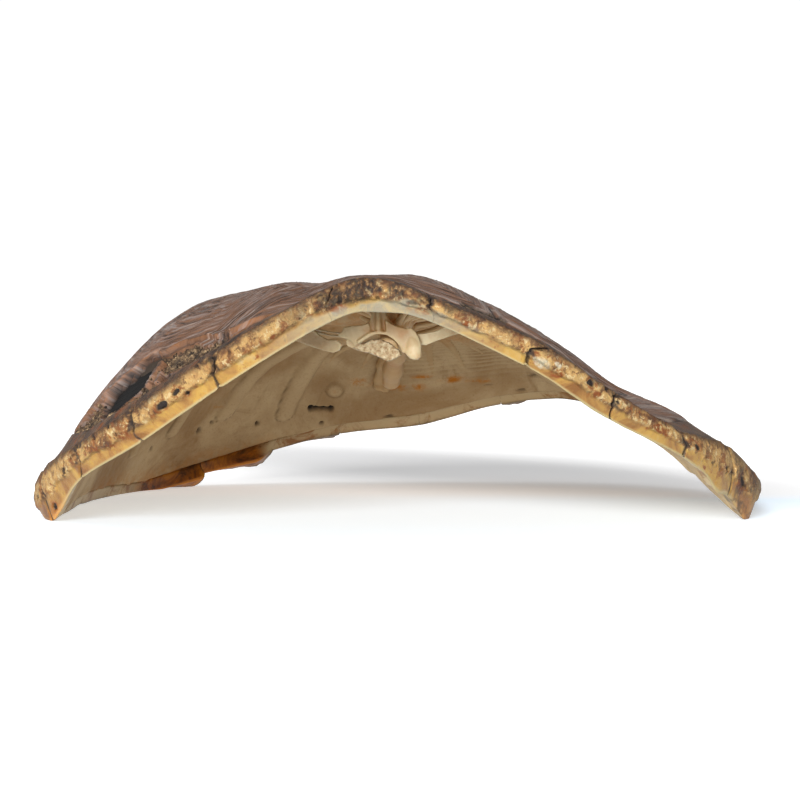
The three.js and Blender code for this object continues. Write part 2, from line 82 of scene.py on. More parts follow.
def distance_along(points: Array, axis: int) -> Array:
    """Distance walked over a grid of points along an axis, 0 at its start."""
    total = np.cumsum(np.linalg.norm(np.diff(points, axis=axis), axis=-1), axis)
    return np.concatenate([np.zeros_like(total.take([0], axis)), total], axis)


def mix(a: Array, b: Array, f: Array) -> Array:
    """Straight mix of a and b."""
    return a + (b - a) * f


def noise(points: Array, size: float, seed: int = 0, octaves: int = 3) -> Array:
    """Smooth value noise.

    Args:
        points: Positions in millimetres, any shape with a last axis of three.
        size: Size of the largest lumps in millimetres.
        seed: Choice of pattern.
        octaves: Number of layers, each half the size of the one before.

    Returns:
        Values of about -1 to 1.
    """
    total = np.zeros(points.shape[:-1])
    weight = 1.0
    reach = 0.0
    for octave in range(octaves):
        p = points / size * 2.0**octave + 17.3 * (octave + 1) + 5.7 * seed
        cell = np.floor(p).astype(np.int64)
        f = p - cell
        f = f * f * (3 - 2 * f)
        value = np.zeros(points.shape[:-1])
        for corner in range(8):
            offset = np.array([(corner >> k) & 1 for k in range(3)])
            c = cell + offset
            h = (c[..., 0] * 73856093) ^ (c[..., 1] * 19349663) ^ (c[..., 2] * 83492791) ^ (seed * 2654435761)
            h = (h ^ (h >> 13)) * 1274126177 & 0x7FFFFFFF
            h = (h ^ (h >> 16)) & 0xFFFF
            w = np.prod(np.where(offset == 1, f, 1 - f), axis=-1)
            value += w * (h / 32767.5 - 1.0)
        total += weight * value
        reach += weight
        weight *= 0.5
    return total / reach * 1.6


# ---------------------------------------------------------------- the shell's form


def round_rim(left: Sequence, right: Sequence) -> Array:
    """Joins the values of the two flanks into one list that goes once round the rim."""
    return np.array(list(right[: HALF + 1]) + list(left[1:HALF])[::-1], dtype=float)


@dataclass
class ShellForm:
    """Outer and inner face of the shell, in millimetres, for arrays of s and t."""

    # The rim's upper edge, then its lower edge, at each seam: [x, y, z] of the left and the right flank.
    brow: Array = field(default_factory=lambda: round_rim(
        [(0, -156, 96), (-19, -159, 93), (-63, -149, 68), (-96, -127, 47), (-122, -98, 32), (-140, -64, 21),
         (-149, -24, 9), (-151, 20, 6), (-148, 62, 6), (-136, 107, 6), (-111, 142, 8), (-75, 160, 19),
         (-40, 165, 31), (0, 166, 37)],
        [(0, -156, 96), (19, -159, 89), (59, -149, 72), (86, -127, 54), (111, -98, 39), (132, -64, 31),
         (147, -26, 15), (151, 20, 9), (148, 62, 10), (138, 102, 20), (115, 135, 33), (80, 157, 49),
         (41, 165, 47), (0, 166, 37)]))
    lip: Array = field(default_factory=lambda: round_rim(
        [(0, -154, 84), (-18, -157, 80.5), (-59.5, -147, 56), (-92, -125, 35), (-120, -96, 19),
         (-133, -64, 5), (-139, -24, 0.6), (-141, 20, 0.3), (-138, 60, 0), (-128, 104, -0.8),
         (-105, 137, 6), (-71, 155, 16.5), (-39, 160, 24.5), (0, 161, 29)],
        [(0, -154, 84), (18, -157, 80.5), (54.5, -147, 63), (84.5, -125, 43.5), (113, -96, 28),
         (132, -63, 12), (141, -26, 6), (145, 20, 3), (143, 61, 6), (132, 99, 13), (111, 131, 25),
         (77, 153, 41), (40, 160, 39), (0, 161, 29)]))
    # The y on the ridge where the line to each seam starts.
    anchor: Sequence[float] = (-92, -90, -84, -74, -58, -38, -12, 18, 46, 70, 88, 98, 104, 106)
    # Exponents of the section along each line: its fullness, and its flare towards the rim.
    fullness: Array = field(default_factory=lambda: round_rim(
        [2.2, 2.2, 2.3, 2.6, 3.3, 3.4, 3.4, 2.9, 2.7, 2.6, 2.7, 2.5, 2.3, 2.2],
        [2.2, 2.1, 1.8, 1.5, 1.35, 1.25, 1.27, 1.27, 1.3, 1.4, 1.6, 1.8, 2.1, 2.2]))
    flare: Array = field(default_factory=lambda: round_rim(
        [0.82, 0.85, 0.9, 0.96, 1.15, 1.25, 1.2, 1.0, 0.9, 0.82, 0.82, 0.82, 0.82, 0.82],
        [0.82, 0.84, 0.95, 1.1, 1.2, 1.15, 1.1, 1.15, 1.2, 1.15, 1.05, 0.95, 0.87, 0.82]))
    ridge_y: Sequence[float] = (-160, -92, -58, -12, 20, 50, 75, 95, 106, 112)
    ridge_z: Sequence[float] = (96, 97.5, 98.5, 98.5, 97.5, 95, 90.5, 84.5, 80, 77)
    # How far the marginal plates reach in from the brow at each seam.
    marginal_width: Sequence[float] = (5, 5, 5, 5.5, 8, 17, 25, 29, 30, 31, 31, 31, 31, 31)
    # Feet that the shell rests on: place and width round the rim, and the move of the lip.
    feet: Sequence[tuple] = (
        (20.85, 0.5, (-2.0, -4, -5)), (5.55, 0.33, (4.0, 2, -9.5)), (4.72, 0.16, (0, 0, -2.6)))
    # Hollows that run along the dome: x, width and depth.
    troughs: Sequence[tuple] = ((-60, 18, 2.5), (-30, 11, 3), (30, 11, 1), (86, 14, 2.5), (116, 12, -3))
    ridge_rounding: float = 0.1
    horn: float = 1.5
    # Gaps between horn and bone on the faces and at the lip, and between two plates.
    bone_gap: float = 0.4
    lip_gap: float = 0.8
    plate_gap: float = 0.4
    rim_bulge: float = 1.2
    underside_return: float = 5.0
    wall: float = 6.0
    # Parts of a tooth's length by which the brow, and near the left foot the lip, move out with it.
    tooth_root: float = 0.4
    foot_root: float = 0.65

    def __post_init__(self) -> None:
        """Goes once round with the lists that are the same on both flanks, and prepares the search."""
        self.anchor_round = round_rim(self.anchor, self.anchor)
        self.width_round = round_rim(self.marginal_width, self.marginal_width)
        self._trees = [self._search_tree(0.0), self._search_tree(float(HALF))]

    def smooth(self, values: Array, t: Array) -> Array:
        """Periodic Catmull-Rom value at t."""
        t = np.mod(t, SEAMS)
        cell = np.floor(t).astype(int)
        f = t - cell
        if values.ndim == 2:
            f = f[..., None]
        a, b, c, d = (values[(cell + k) % SEAMS] for k in (-1, 0, 1, 2))
        return 0.5 * (2 * b + (c - a) * f + (2 * a - 5 * b + 4 * c - d) * f * f
                      + (3 * b - a - 3 * c + d) * f**3)

    def ridge(self, y: Array) -> Array:
        """Height of the midline ridge at y."""
        return np.interp(y, self.ridge_y, self.ridge_z)

    def plan(self, s: Array, t: Array) -> Array:
        """Plan position [x, y] of a surface point."""
        edge = self.smooth(self.brow, t)
        ay = self.smooth(self.anchor_round, t)
        return np.stack([edge[..., 0] * s, ay + (edge[..., 1] - ay) * s], -1)

    def outer(self, s: Array, t: Array) -> Array:
        """Point on the outer face."""
        s, t = np.broadcast_arrays(np.asarray(s, float), np.asarray(t, float))
        edge = self.smooth(self.brow, t)
        ay = self.smooth(self.anchor_round, t)
        x = edge[..., 0] * s
        y = ay + (edge[..., 1] - ay) * s
        inside = np.clip(s, 0, 1)
        k = self.ridge_rounding
        r = (np.hypot(inside, k) - k) / (np.hypot(1, k) - k)
        full = self.smooth(self.fullness, t)
        rise = np.maximum(0, 1 - r**full) ** self.smooth(self.flare, t)
        depth = sum(low * bell(x, at, width) for at, width, low in self.troughs)
        hollow = depth * np.clip(4 * (1 - s), 0, 1)
        return np.stack([x, y, edge[..., 2] + (self.ridge(ay) - edge[..., 2]) * rise - hollow], -1)

    def normal(self, s: Array, t: Array) -> Array:
        """Unit vector out of the shell."""
        s, t = np.broadcast_arrays(np.asarray(s, float), np.asarray(t, float))
        at = np.clip(s, 0.02, 0.97)
        along = self.outer(at + 0.004, t) - self.outer(at - 0.004, t)
        across = self.outer(at, t + 0.004) - self.outer(at, t - 0.004)
        n = unit(np.cross(across, along))
        n = np.where(n[..., 2:] < 0, -n, n)
        ay = self.smooth(self.anchor_round, t)
        top = unit(np.stack([0 * ay, self.ridge(ay - 2) - self.ridge(ay + 2), 0 * ay + 4], -1))
        return unit(mix(top, n, step(0.0, 0.05, s)[..., None]))

    def rim(self, t: Array) -> tuple[Array, Array, Array, Array, Array]:
        """The rim's section: its two edges, the unit vectors up its face and out of it, its height."""
        t = np.asarray(t, float)
        top = self.smooth(self.brow, t)
        bottom = self.smooth(self.lip, t)
        for at, width, move in self.feet:
            weight = bell(np.mod(t, SEAMS), at, width)
            bottom = bottom + weight[..., None] * np.array(move)
        up = top - bottom
        height = np.linalg.norm(up, axis=-1, keepdims=True)
        up = up / height
        out = self.outer(1.0, t) - self.outer(0.97, t)
        out = unit(out - up * np.sum(out * up, -1, keepdims=True))
        return top, bottom, up, out, height

    def inner(self, s: Array, t: Array) -> tuple[Array, Array]:
        """Point on the inner face, and the unit vector from there into the hollow."""
        s, t = np.broadcast_arrays(np.asarray(s, float), np.asarray(t, float))
        _, _, up, _, height = self.rim(t)
        blend = np.minimum(1, s)[..., None] ** 3
        deep = -self.normal(s, t) * self.wall * (1 - blend) - up * height * blend
        return self.outer(s, t) + deep, unit(deep)

    def in_from_brow(self, t: Array, distance: Array) -> Array:
        """The s at which the shell is `distance` millimetres in from the brow."""
        return 1 - distance * 0.03 / np.linalg.norm(self.outer(1.0, t) - self.outer(0.97, t), axis=-1)

    def marginal_edge(self, t: Array, extra: Array | float = 0.0) -> Array:
        """The s at which the marginal plates' upper face ends, or `extra` millimetres further in."""
        t = np.atleast_1d(np.asarray(t, float))
        ring = 1 - 0.01 * np.arange(0, 76)
        line = self.outer(ring[None, :], t[:, None])
        walked = distance_along(line, 1)
        width = self.smooth(self.width_round, t) + extra
        return np.array([np.interp(w, row, ring) for w, row in zip(width, walked)])

    def into_wall(self, t: Array) -> Array:
        """Unit vector from the underside of the rim into the wall."""
        _, bottom, up, _, _ = self.rim(t)
        inwards = unit(self.inner(self.in_from_brow(t, self.underside_return), t)[0] - bottom)
        return unit(up - inwards * np.sum(up * inwards, -1, keepdims=True))

    def rim_curve(self, t: Array, v: Array, sinks: tuple[float, float, float], tooth: Array,
                  hang: Array | float = 0.0) -> Array:
        """Points down the rim's face.

        Args:
            t: Stations round the rim, shape (n,).
            v: 0 at the brow to 1 at the lip, shape (m,).
            sinks: Depth below the surface at the brow, the middle and the lip.
            tooth: How far the rim stands out at each station.
            hang: How far the lip hangs down at each station.

        Returns:
            Points, shape (n, m, 3).
        """
        top, bottom, up, out, _ = self.rim(t)
        tooth = np.asarray(tooth, float)[..., None]
        bottom = bottom - up * (np.asarray(hang, float) * np.ones(len(t)))[..., None]
        middle = (top + bottom) / 2 + out * (self.rim_bulge - sinks[1] + tooth)
        top = self._sunk(top + out * self.tooth_root * tooth, self.normal(0.97, t), out, sinks[0])
        root = self.foot_root * bell(np.mod(t, SEAMS), 20.8, 0.6)[..., None]
        bottom = self._sunk(bottom + out * root * tooth, out, -self.into_wall(t), sinks[2])
        v = np.asarray(v, float)[None, :, None]
        a, b, c = top[:, None], middle[:, None], bottom[:, None]
        return a * (1 - v) * (1 - 2 * v) + b * 4 * v * (1 - v) + c * v * (2 * v - 1)

    def underside(self, t: Array, distance: float, sink: float) -> Array:
        """Point of the rim's underside, `distance` in from the lip and `sink` deep in the wall."""
        return self.inner(self.in_from_brow(t, distance), t)[0] + self.into_wall(t) * sink

    def locate(self, xy: Array) -> tuple[Array, Array]:
        """The s and t of plan positions, by a search and a few Newton steps."""
        flat = xy.reshape(-1, 2)
        s = np.empty(len(flat))
        t = np.empty(len(flat))
        for side, (tree, table) in enumerate(self._trees):
            rows = np.nonzero((flat[:, 0] < 0) == bool(side))[0]
            near = [tree.find((p[0], p[1], 0.0))[1] for p in flat[rows]]
            s[rows], t[rows] = table[near].T
        for _ in range(5):
            here = self.plan(s, t) - flat
            ds = (self.plan(s + 0.002, t) - self.plan(s - 0.002, t)) / 0.004
            dt = (self.plan(s, t + 0.01) - self.plan(s, t - 0.01)) / 0.02
            det = ds[:, 0] * dt[:, 1] - ds[:, 1] * dt[:, 0]
            det = np.where(np.abs(det) < 1.0, np.sign(det + 1e-9), det)
            s = s - np.clip((here[:, 0] * dt[:, 1] - here[:, 1] * dt[:, 0]) / det, -0.05, 0.05)
            t = t - np.clip((ds[:, 0] * here[:, 1] - ds[:, 1] * here[:, 0]) / det, -0.3, 0.3)
            s = np.maximum(s, 0.0)
        return s.reshape(xy.shape[:-1]), np.mod(t, SEAMS).reshape(xy.shape[:-1])

    def _sunk(self, corner: Array, a: Array, b: Array, sink: float) -> Array:
        """Corner between two faces, moved in so that both keep their distance."""
        return corner - (a + b) * sink / (1 + np.sum(a * b, -1, keepdims=True))

    def _search_tree(self, start: float) -> tuple[kdtree.KDTree, Array]:
        """Search tree over the plan of one flank, with the s and t of its points."""
        t, s = np.meshgrid(start + np.linspace(0, HALF, 261), np.linspace(0, 1.05, 85), indexing="ij")
        table = np.stack([s.ravel(), t.ravel()], -1)
        spots = self.plan(table[:, 0], table[:, 1])
        tree = kdtree.KDTree(len(spots))
        for i, (x, y) in enumerate(spots):
            tree.insert((x, y, 0.0), i)
        tree.balance()
        return tree, table


# ---------------------------------------------------------------- meshes


def make_mesh(name: str, points: Array, faces: Sequence[Sequence[int]] | Array,
              attributes: dict[str, Array] | None = None) -> bpy.types.Object:
    """Smooth-shaded object from millimetre points.

    Args:
        name: Name of the piece.
        points: Vertices in the shell's own millimetres, shape (n, 3).
        faces: Corner indices of each face.
        attributes: Numbers kept on the vertices, by name.

    Returns:
        The object, linked to the scene.
    """
    mesh = bpy.data.meshes.new(name)
    mesh.from_pydata(((points - MIDDLE) * MM).tolist(), [], [list(map(int, f)) for f in faces])
    for key, values in (attributes or {}).items():
        layer = mesh.attributes.new(key, "FLOAT", "POINT")
        layer.data.foreach_set("value", np.asarray(values, np.float32).ravel())
    mesh.polygons.foreach_set("use_smooth", np.ones(len(mesh.polygons), bool))
    mesh.update()
    piece = bpy.data.objects.new(name, mesh)
    bpy.context.scene.collection.objects.link(piece)
    return piece


def tidy_mesh(piece: bpy.types.Object, distance: float) -> None:
    """Merges vertices closer than `distance` metres and turns all faces outwards."""
    work = bmesh.new()
    work.from_mesh(piece.data)
    bmesh.ops.remove_doubles(work, verts=work.verts, dist=distance)
    bmesh.ops.dissolve_degenerate(work, edges=work.edges, dist=1e-7)
    bmesh.ops.recalc_face_normals(work, faces=work.faces)
    work.to_mesh(piece.data)
    work.free()
    piece.data.polygons.foreach_set("use_smooth", np.ones(len(piece.data.polygons), bool))
    piece.data.update()


def grid_faces(rows: int, columns: int, loop_rows: bool, loop_columns: bool) -> Array:
    """Quads between neighbouring rows of a grid of points."""
    j, i = np.meshgrid(np.arange(rows if loop_rows else rows - 1),
                       np.arange(columns if loop_columns else columns - 1), indexing="ij")
    j, i = j.ravel(), i.ravel()
    j2, i2 = (j + 1) % rows, (i + 1) % columns
    return np.stack([j * columns + i, j2 * columns + i, j2 * columns + i2, j * columns + i2], -1)


# ---------------------------------------------------------------- materials


class Graph:
    """Short way to build a material's nodes."""

    def __init__(self, name: str) -> None:
        """Empty material with a Principled shader."""
        self.material = bpy.data.materials.new(name)
        self.material.use_nodes = True
        self.tree = self.material.node_tree
        self.tree.nodes.clear()
        self.shader = self.tree.nodes.new("ShaderNodeBsdfPrincipled")
        output = self.tree.nodes.new("ShaderNodeOutputMaterial")
        self.tree.links.new(self.shader.outputs[0], output.inputs[0])
        self.place = self.node("ShaderNodeTexCoord").outputs["Object"]

    def node(self, kind: str, **settings: object) -> bpy.types.Node:
        """New node with its plain properties set."""
        made = self.tree.nodes.new(kind)
        for key, value in settings.items():
            setattr(made, key, value)
        return made

    def feed(self, socket: Socket, value: object) -> None:
        """Links or sets an input."""
        if isinstance(value, Socket):
            self.tree.links.new(value, socket)
        elif isinstance(value, tuple) and len(value) == 3 and socket.type == "RGBA":
            socket.default_value = (*value, 1.0)
        else:
            socket.default_value = value

    def attribute(self, name: str) -> Socket:
        """Number kept on the mesh."""
        return self.node("ShaderNodeAttribute", attribute_name=name).outputs["Fac"]

    def math(self, operation: str, *values: object) -> Socket:
        """Math node."""
        made = self.node("ShaderNodeMath", operation=operation)
        for socket, value in zip(made.inputs, values):
            self.feed(socket, value)
        return made.outputs[0]

    def times(self, a: object, b: object) -> Socket:
        """Product of two values."""
        return self.math("MULTIPLY", a, b)

    def plus(self, first: object, *others: object) -> Socket:
        """Sum of two or more values."""
        for other in others:
            first = self.math("ADD", first, other)
        return first

    def vector(self, x: object, y: object, z: object) -> Socket:
        """Vector of three numbers."""
        made = self.node("ShaderNodeCombineXYZ")
        for socket, value in zip(made.inputs, (x, y, z)):
            self.feed(socket, value)
        return made.outputs[0]

    def noise(self, scale: float, detail: float = 4.0, rough: float = 0.55, where: object = None,
              warp: float = 0.0) -> Socket:
        """Noise texture value."""
        made = self.node("ShaderNodeTexNoise")
        self.feed(made.inputs["Vector"], self.place if where is None else where)
        self.feed(made.inputs["Scale"], scale)
        self.feed(made.inputs["Detail"], detail)
        self.feed(made.inputs["Roughness"], rough)
        self.feed(made.inputs["Distortion"], warp)
        return made.outputs[0]

    def cells(self, scale: float, feature: str = "F1", where: object = None) -> Socket:
        """Voronoi distance."""
        made = self.node("ShaderNodeTexVoronoi", feature=feature)
        self.feed(made.inputs["Vector"], self.place if where is None else where)
        self.feed(made.inputs["Scale"], scale)
        return made.outputs["Distance"]

    def range(self, value: object, low: float, high: float, to_low: float = 0.0,
              to_high: float = 1.0) -> Socket:
        """Smooth map range, clamped."""
        made = self.node("ShaderNodeMapRange", interpolation_type="SMOOTHSTEP")
        for key, item in zip(("Value", "From Min", "From Max", "To Min", "To Max"),
                             (value, low, high, to_low, to_high)):
            self.feed(made.inputs[key], item)
        return made.outputs[0]

    def blend(self, a: object, b: object, amount: object, kind: str = "MIX") -> Socket:
        """Mix of two colours."""
        made = self.node("ShaderNodeMix", data_type="RGBA", blend_type=kind)
        self.feed(made.inputs[0], amount)
        self.feed(made.inputs[6], a)
        self.feed(made.inputs[7], b)
        return made.outputs[2]

    def tint(self, colour: object, over: object, where: object, strength: float) -> Socket:
        """Covers a colour with another one, at most by `strength`, where `where` is high."""
        return self.blend(colour, over, self.times(where, strength))

    def ramp(self, value: object, stops: Sequence[tuple[float, Colour]]) -> Socket:
        """Colour ramp."""
        made = self.node("ShaderNodeValToRGB")
        band = made.color_ramp
        while len(band.elements) < len(stops):
            band.elements.new(0.5)
        for element, (at, colour) in zip(band.elements, stops):
            element.position = at
            element.color = (*colour, 1.0)
        self.feed(made.inputs[0], value)
        return made.outputs[0]

    def bump(self, height: object, distance: float, strength: float, below: object = None) -> object:
        """Bump node, on top of another bump when one is given."""
        made = self.node("ShaderNodeBump")
        self.feed(made.inputs["Height"], height)
        self.feed(made.inputs["Distance"], distance)
        self.feed(made.inputs["Strength"], strength)
        if below is not None:
            self.feed(made.inputs["Normal"], below)
        return made.outputs[0]

    def finish(self, colour: object, roughness: object, normal: object = None, specular: float = 0.5,
               **plain: float) -> bpy.types.Material:
        """Sets the shader's sockets and returns the material."""
        self.feed(self.shader.inputs["Base Color"], colour)
        self.feed(self.shader.inputs["Roughness"], roughness)
        self.feed(self.shader.inputs["Specular IOR Level"], specular)
        if normal is not None:
            self.feed(self.shader.inputs["Normal"], normal)
        for key, value in plain.items():
            self.shader.inputs[key.replace("_", " ")].default_value = value
        return self.material


def srgb(red: int, green: int, blue: int) -> Colour:
    """Linear colour of 0 to 255 display values."""
    def linear(c: float) -> float:
        """One channel."""
        c /= 255.0
        return c / 12.92 if c <= 0.04045 else ((c + 0.055) / 1.055) ** 2.4
    return linear(red), linear(green), linear(blue)


@dataclass(frozen=True)
class BoneFinish:
    """Dry bone of the dome's inner face: grey-beige, faintly stained."""

    pale: Colour = srgb(180, 156, 118)
    deep: Colour = srgb(142, 112, 74)
    stain: Colour = srgb(112, 78, 38)
    line: Colour = srgb(84, 66, 40)
    rust: Colour = srgb(164, 100, 22)
    hole_painted_shadow: Colour = srgb(20, 14, 9)

    def make(self) -> bpy.types.Material:
        """Builds the material."""
        g = Graph("dry_bone")
        cloud = g.noise(20.0, 6.0, 0.6, warp=0.6)
        fine = g.noise(260.0, 4.0, 0.6)
        grain = g.noise(900.0, 3.0, 0.6)
        colour = g.blend(self.deep, self.pale, g.range(cloud, 0.35, 0.66))
        stain = g.times(g.range(g.noise(34.0, 6.0, 0.7, warp=1.0), 0.54, 0.72), 0.5)
        colour = g.blend(colour, self.stain, stain)
        # Painted highlight: raised parts (rib crests, the boss, the swept ridges' tops) are painted pale.
        colour = g.tint(colour, self.pale, g.attribute("crest"), 0.7)
        colour = g.tint(colour, self.stain, g.range(grain, 0.5, 0.75), 0.25)
        colour = g.tint(colour, self.line, g.attribute("outline"), 0.7)
        rusty = g.times(g.attribute("rust"), g.range(g.noise(130.0, 6.0, 0.75), 0.38, 0.6))
        colour = g.blend(colour, self.rust, rusty)
        # Painted shadow: the pits and the slot are painted near black.
        colour = g.blend(colour, self.hole_painted_shadow, g.attribute("pit"))
        colour = g.blend(colour, srgb(52, 43, 35), g.attribute("crumb"))
        specks = g.range(g.cells(330.0), 0.0, 0.14, 1.0, 0.0)
        few = g.range(g.noise(45.0, 2.0), 0.52, 0.62)
        colour = g.tint(colour, self.line, g.times(specks, few), 0.6)
        height = g.plus(cloud, g.times(fine, 0.3), g.times(grain, 0.1))
        return g.finish(colour, g.range(fine, 0.3, 0.7, 0.6, 0.8), g.bump(height, 0.0009, 0.6), 0.25)


@dataclass(frozen=True)
class HornFinish:
    """Dry horn of the dome's plates: brown with streaks that follow the growth rings."""

    name: str = "dome_horn"
    base: Colour = srgb(92, 70, 57)
    grey: Colour = srgb(122, 110, 105)
    red: Colour = srgb(112, 76, 52)
    pale: Colour = srgb(152, 132, 116)
    dark: Colour = srgb(36, 27, 23)
    edge: Colour = srgb(136, 88, 50)

    def make(self) -> bpy.types.Material:
        """Builds the material."""
        g = Graph(self.name)
        ring, ray = g.attribute("ring"), g.attribute("ray")
        flow = g.vector(ring, g.times(ray, 0.07), 0.0)
        streak = g.noise(0.42, 7.0, 0.68, flow, 0.7)
        wide = g.noise(0.09, 5.0, 0.6, flow, 1.0)
        thin = g.noise(1.7, 4.0, 0.62, flow, 0.4)
        cloud = g.noise(24.0, 6.0, 0.62)
        colour = g.ramp(streak, [(0.38, self.dark), (0.44, self.base), (0.51, self.red), (0.56, self.grey),
                                 (0.66, self.pale)])
        colour = g.tint(colour, self.red, g.range(wide, 0.5, 0.66), 0.55)
        colour = g.tint(colour, self.dark, g.range(wide, 0.46, 0.34), 0.55)
        colour = g.tint(colour, self.grey, g.range(cloud, 0.48, 0.7), 0.5)
        colour = g.tint(colour, self.dark, g.range(thin, 0.56, 0.64), 0.65)
        colour = g.tint(colour, self.dark, g.attribute("crease"), 0.9)
        crumb = g.attribute("crumb")
        grit = g.noise(430.0, 5.0, 0.7)
        soil = g.noise(120.0, 4.0, 0.6)
        matter = g.ramp(grit, [(0.34, srgb(26, 20, 16)), (0.47, srgb(66, 53, 42)), (0.58, srgb(104, 86, 66)),
                               (0.7, srgb(168, 144, 112))])
        matter = g.tint(matter, srgb(30, 23, 18), g.range(soil, 0.5, 0.62), 0.7)
        colour = g.blend(colour, matter, crumb)
        colour = g.blend(colour, self.edge, g.attribute("torn_edge"))
        # Painted shadow: the torn hole and the hollow are painted near black.
        colour = g.blend(colour, srgb(7, 5, 4), g.attribute("hole_painted_shadow"))
        groove = g.range(g.attribute("seam"), 0.0, 1.5, 0.8, 0.0)
        colour = g.blend(colour, srgb(30, 22, 17), groove)
        relief = g.plus(streak, g.times(thin, 0.45))
        normal = g.bump(relief, 0.0011, 0.85)
        normal = g.bump(g.times(grit, crumb), 0.0018, 1.0, normal)
        dull = g.math("MAXIMUM", crumb, g.attribute("hole_painted_shadow"))
        rough = g.math("MAXIMUM", g.range(cloud, 0.35, 0.7, 0.5, 0.66), dull)
        return g.finish(colour, rough, normal, 0.28)


@dataclass(frozen=True)
class BandFinish:
    """Rim plates: granular cream above, golden and smooth below, pale at the lip."""

    name: str = "rim_horn"
    cream: Colour = srgb(196, 154, 92)
    tan: Colour = srgb(156, 108, 56)
    brown: Colour = srgb(92, 56, 28)
    rust: Colour = srgb(134, 68, 12)
    gold: Colour = srgb(164, 118, 56)
    honey: Colour = srgb(190, 146, 64)
    vault: Colour = srgb(150, 140, 118)
    lip: Colour = srgb(184, 162, 112)
    black: Colour = srgb(24, 17, 12)
    bone: Colour = srgb(204, 176, 130)
    shade: float = 0.3

    def make(self) -> bpy.types.Material:
        """Builds the material."""
        g = Graph(self.name)
        band = g.attribute("band")
        cloud = g.noise(80.0, 6.0, 0.68, warp=0.8)
        patch = g.noise(150.0, 5.0, 0.65, warp=0.5)
        grain = g.noise(560.0, 4.0, 0.68)
        wobble = g.plus(band, g.times(g.math("SUBTRACT", g.noise(100.0, 5.0), 0.5), 0.42))
        upper = g.ramp(cloud, [(0.34, self.brown), (0.42, self.tan), (0.52, self.cream), (0.64, self.cream),
                               (0.74, self.tan)])
        crisp = g.noise(330.0, 5.0, 0.72)
        between = g.times(g.range(g.cells(520.0), 0.5, 0.75), g.range(cloud, 0.62, 0.42, 0.1, 0.6))
        upper = g.blend(upper, self.brown, between)
        upper = g.tint(upper, srgb(218, 190, 138), g.range(crisp, 0.45, 0.38), 0.8)
        upper = g.tint(upper, self.brown, g.range(crisp, 0.56, 0.61), 0.75)
        upper = g.tint(upper, self.rust, g.range(patch, 0.58, 0.63), 0.75)
        upper = g.tint(upper, self.brown, g.range(wobble, 0.26, 0.0), 0.75)
        lower = g.ramp(g.noise(60.0, 6.0, 0.62, warp=0.7), [
            (0.36, srgb(132, 84, 32)), (0.46, self.gold), (0.58, self.honey), (0.72, srgb(188, 160, 112))])
        lower = g.tint(lower, self.brown, g.range(patch, 0.62, 0.68), 0.5)
        lower = g.tint(lower, self.rust, g.range(crisp, 0.62, 0.66), 0.7)
        colour = g.blend(upper, lower, g.range(wobble, 0.5, 0.68))
        colour = g.blend(colour, self.lip, g.times(g.range(band, 0.9, 0.99), g.range(band, 1.3, 1.05)))
        vault = g.blend(self.vault, srgb(176, 156, 116), g.range(patch, 0.44, 0.6))
        colour = g.tint(colour, vault, g.attribute("vault"), 0.92)
        cloudy = g.range(cloud, 0.36, 0.62)
        olive = g.blend(srgb(70, 52, 32), srgb(148, 118, 78), cloudy)
        top = g.range(wobble, -0.12, 0.1, 1.0, 0.0)
        sheet = g.blend(srgb(48, 34, 25), srgb(112, 82, 58), cloudy)
        back = g.attribute("back")
        outer = g.blend(sheet, olive, back)
        colour = g.blend(colour, outer, g.math("MAXIMUM", top, g.times(back, 0.75)))
        amber = g.ramp(cloud, [(0.36, srgb(74, 38, 6)), (0.47, srgb(144, 82, 8)), (0.58, srgb(190, 116, 14)),
                               (0.7, srgb(206, 138, 34))])
        edge = g.times(g.range(band, 0.9, 0.97), g.range(band, 1.14, 1.04))
        amber = g.tint(amber, srgb(224, 140, 30), edge, 0.8)
        colour = g.blend(colour, amber, g.attribute("amber"))
        dry = g.blend(self.tan, self.bone, g.range(cloud, 0.36, 0.52))
        colour = g.blend(colour, dry, g.attribute("plain"))
        rusty = g.times(g.attribute("rust"), g.range(crisp, 0.42, 0.52, 0.15, 1.0))
        colour = g.blend(colour, self.rust, rusty)
        black = g.ramp(grain, [(0.38, self.black), (0.5, srgb(58, 38, 22)), (0.6, srgb(120, 84, 46)),
                               (0.7, srgb(176, 148, 104))])
        colour = g.blend(colour, black, g.attribute("dark"))
        flake = g.times(g.attribute("flake"), g.range(grain, 0.4, 0.56, 0.35, 1.0))
        colour = g.blend(colour, srgb(206, 192, 164), flake)
        colour = g.blend(colour, srgb(34, 19, 9), g.attribute("pit"))
        groove = g.range(g.attribute("seam"), 0.0, 0.75, 0.85, 0.0)
        colour = g.blend(colour, srgb(38, 25, 16), groove)
        colour = g.blend(colour, (0.0, 0.0, 0.0), self.shade)
        rough_part = g.range(wobble, 0.5, 0.7, 1.0, 0.25)
        height = g.times(g.plus(grain, crisp, g.times(patch, 0.6)), rough_part)
        rough = g.plus(g.times(rough_part, 0.2), 0.42)
        return g.finish(colour, rough, g.bump(height, 0.0011, 0.85), 0.35, Subsurface_Weight=0.04)


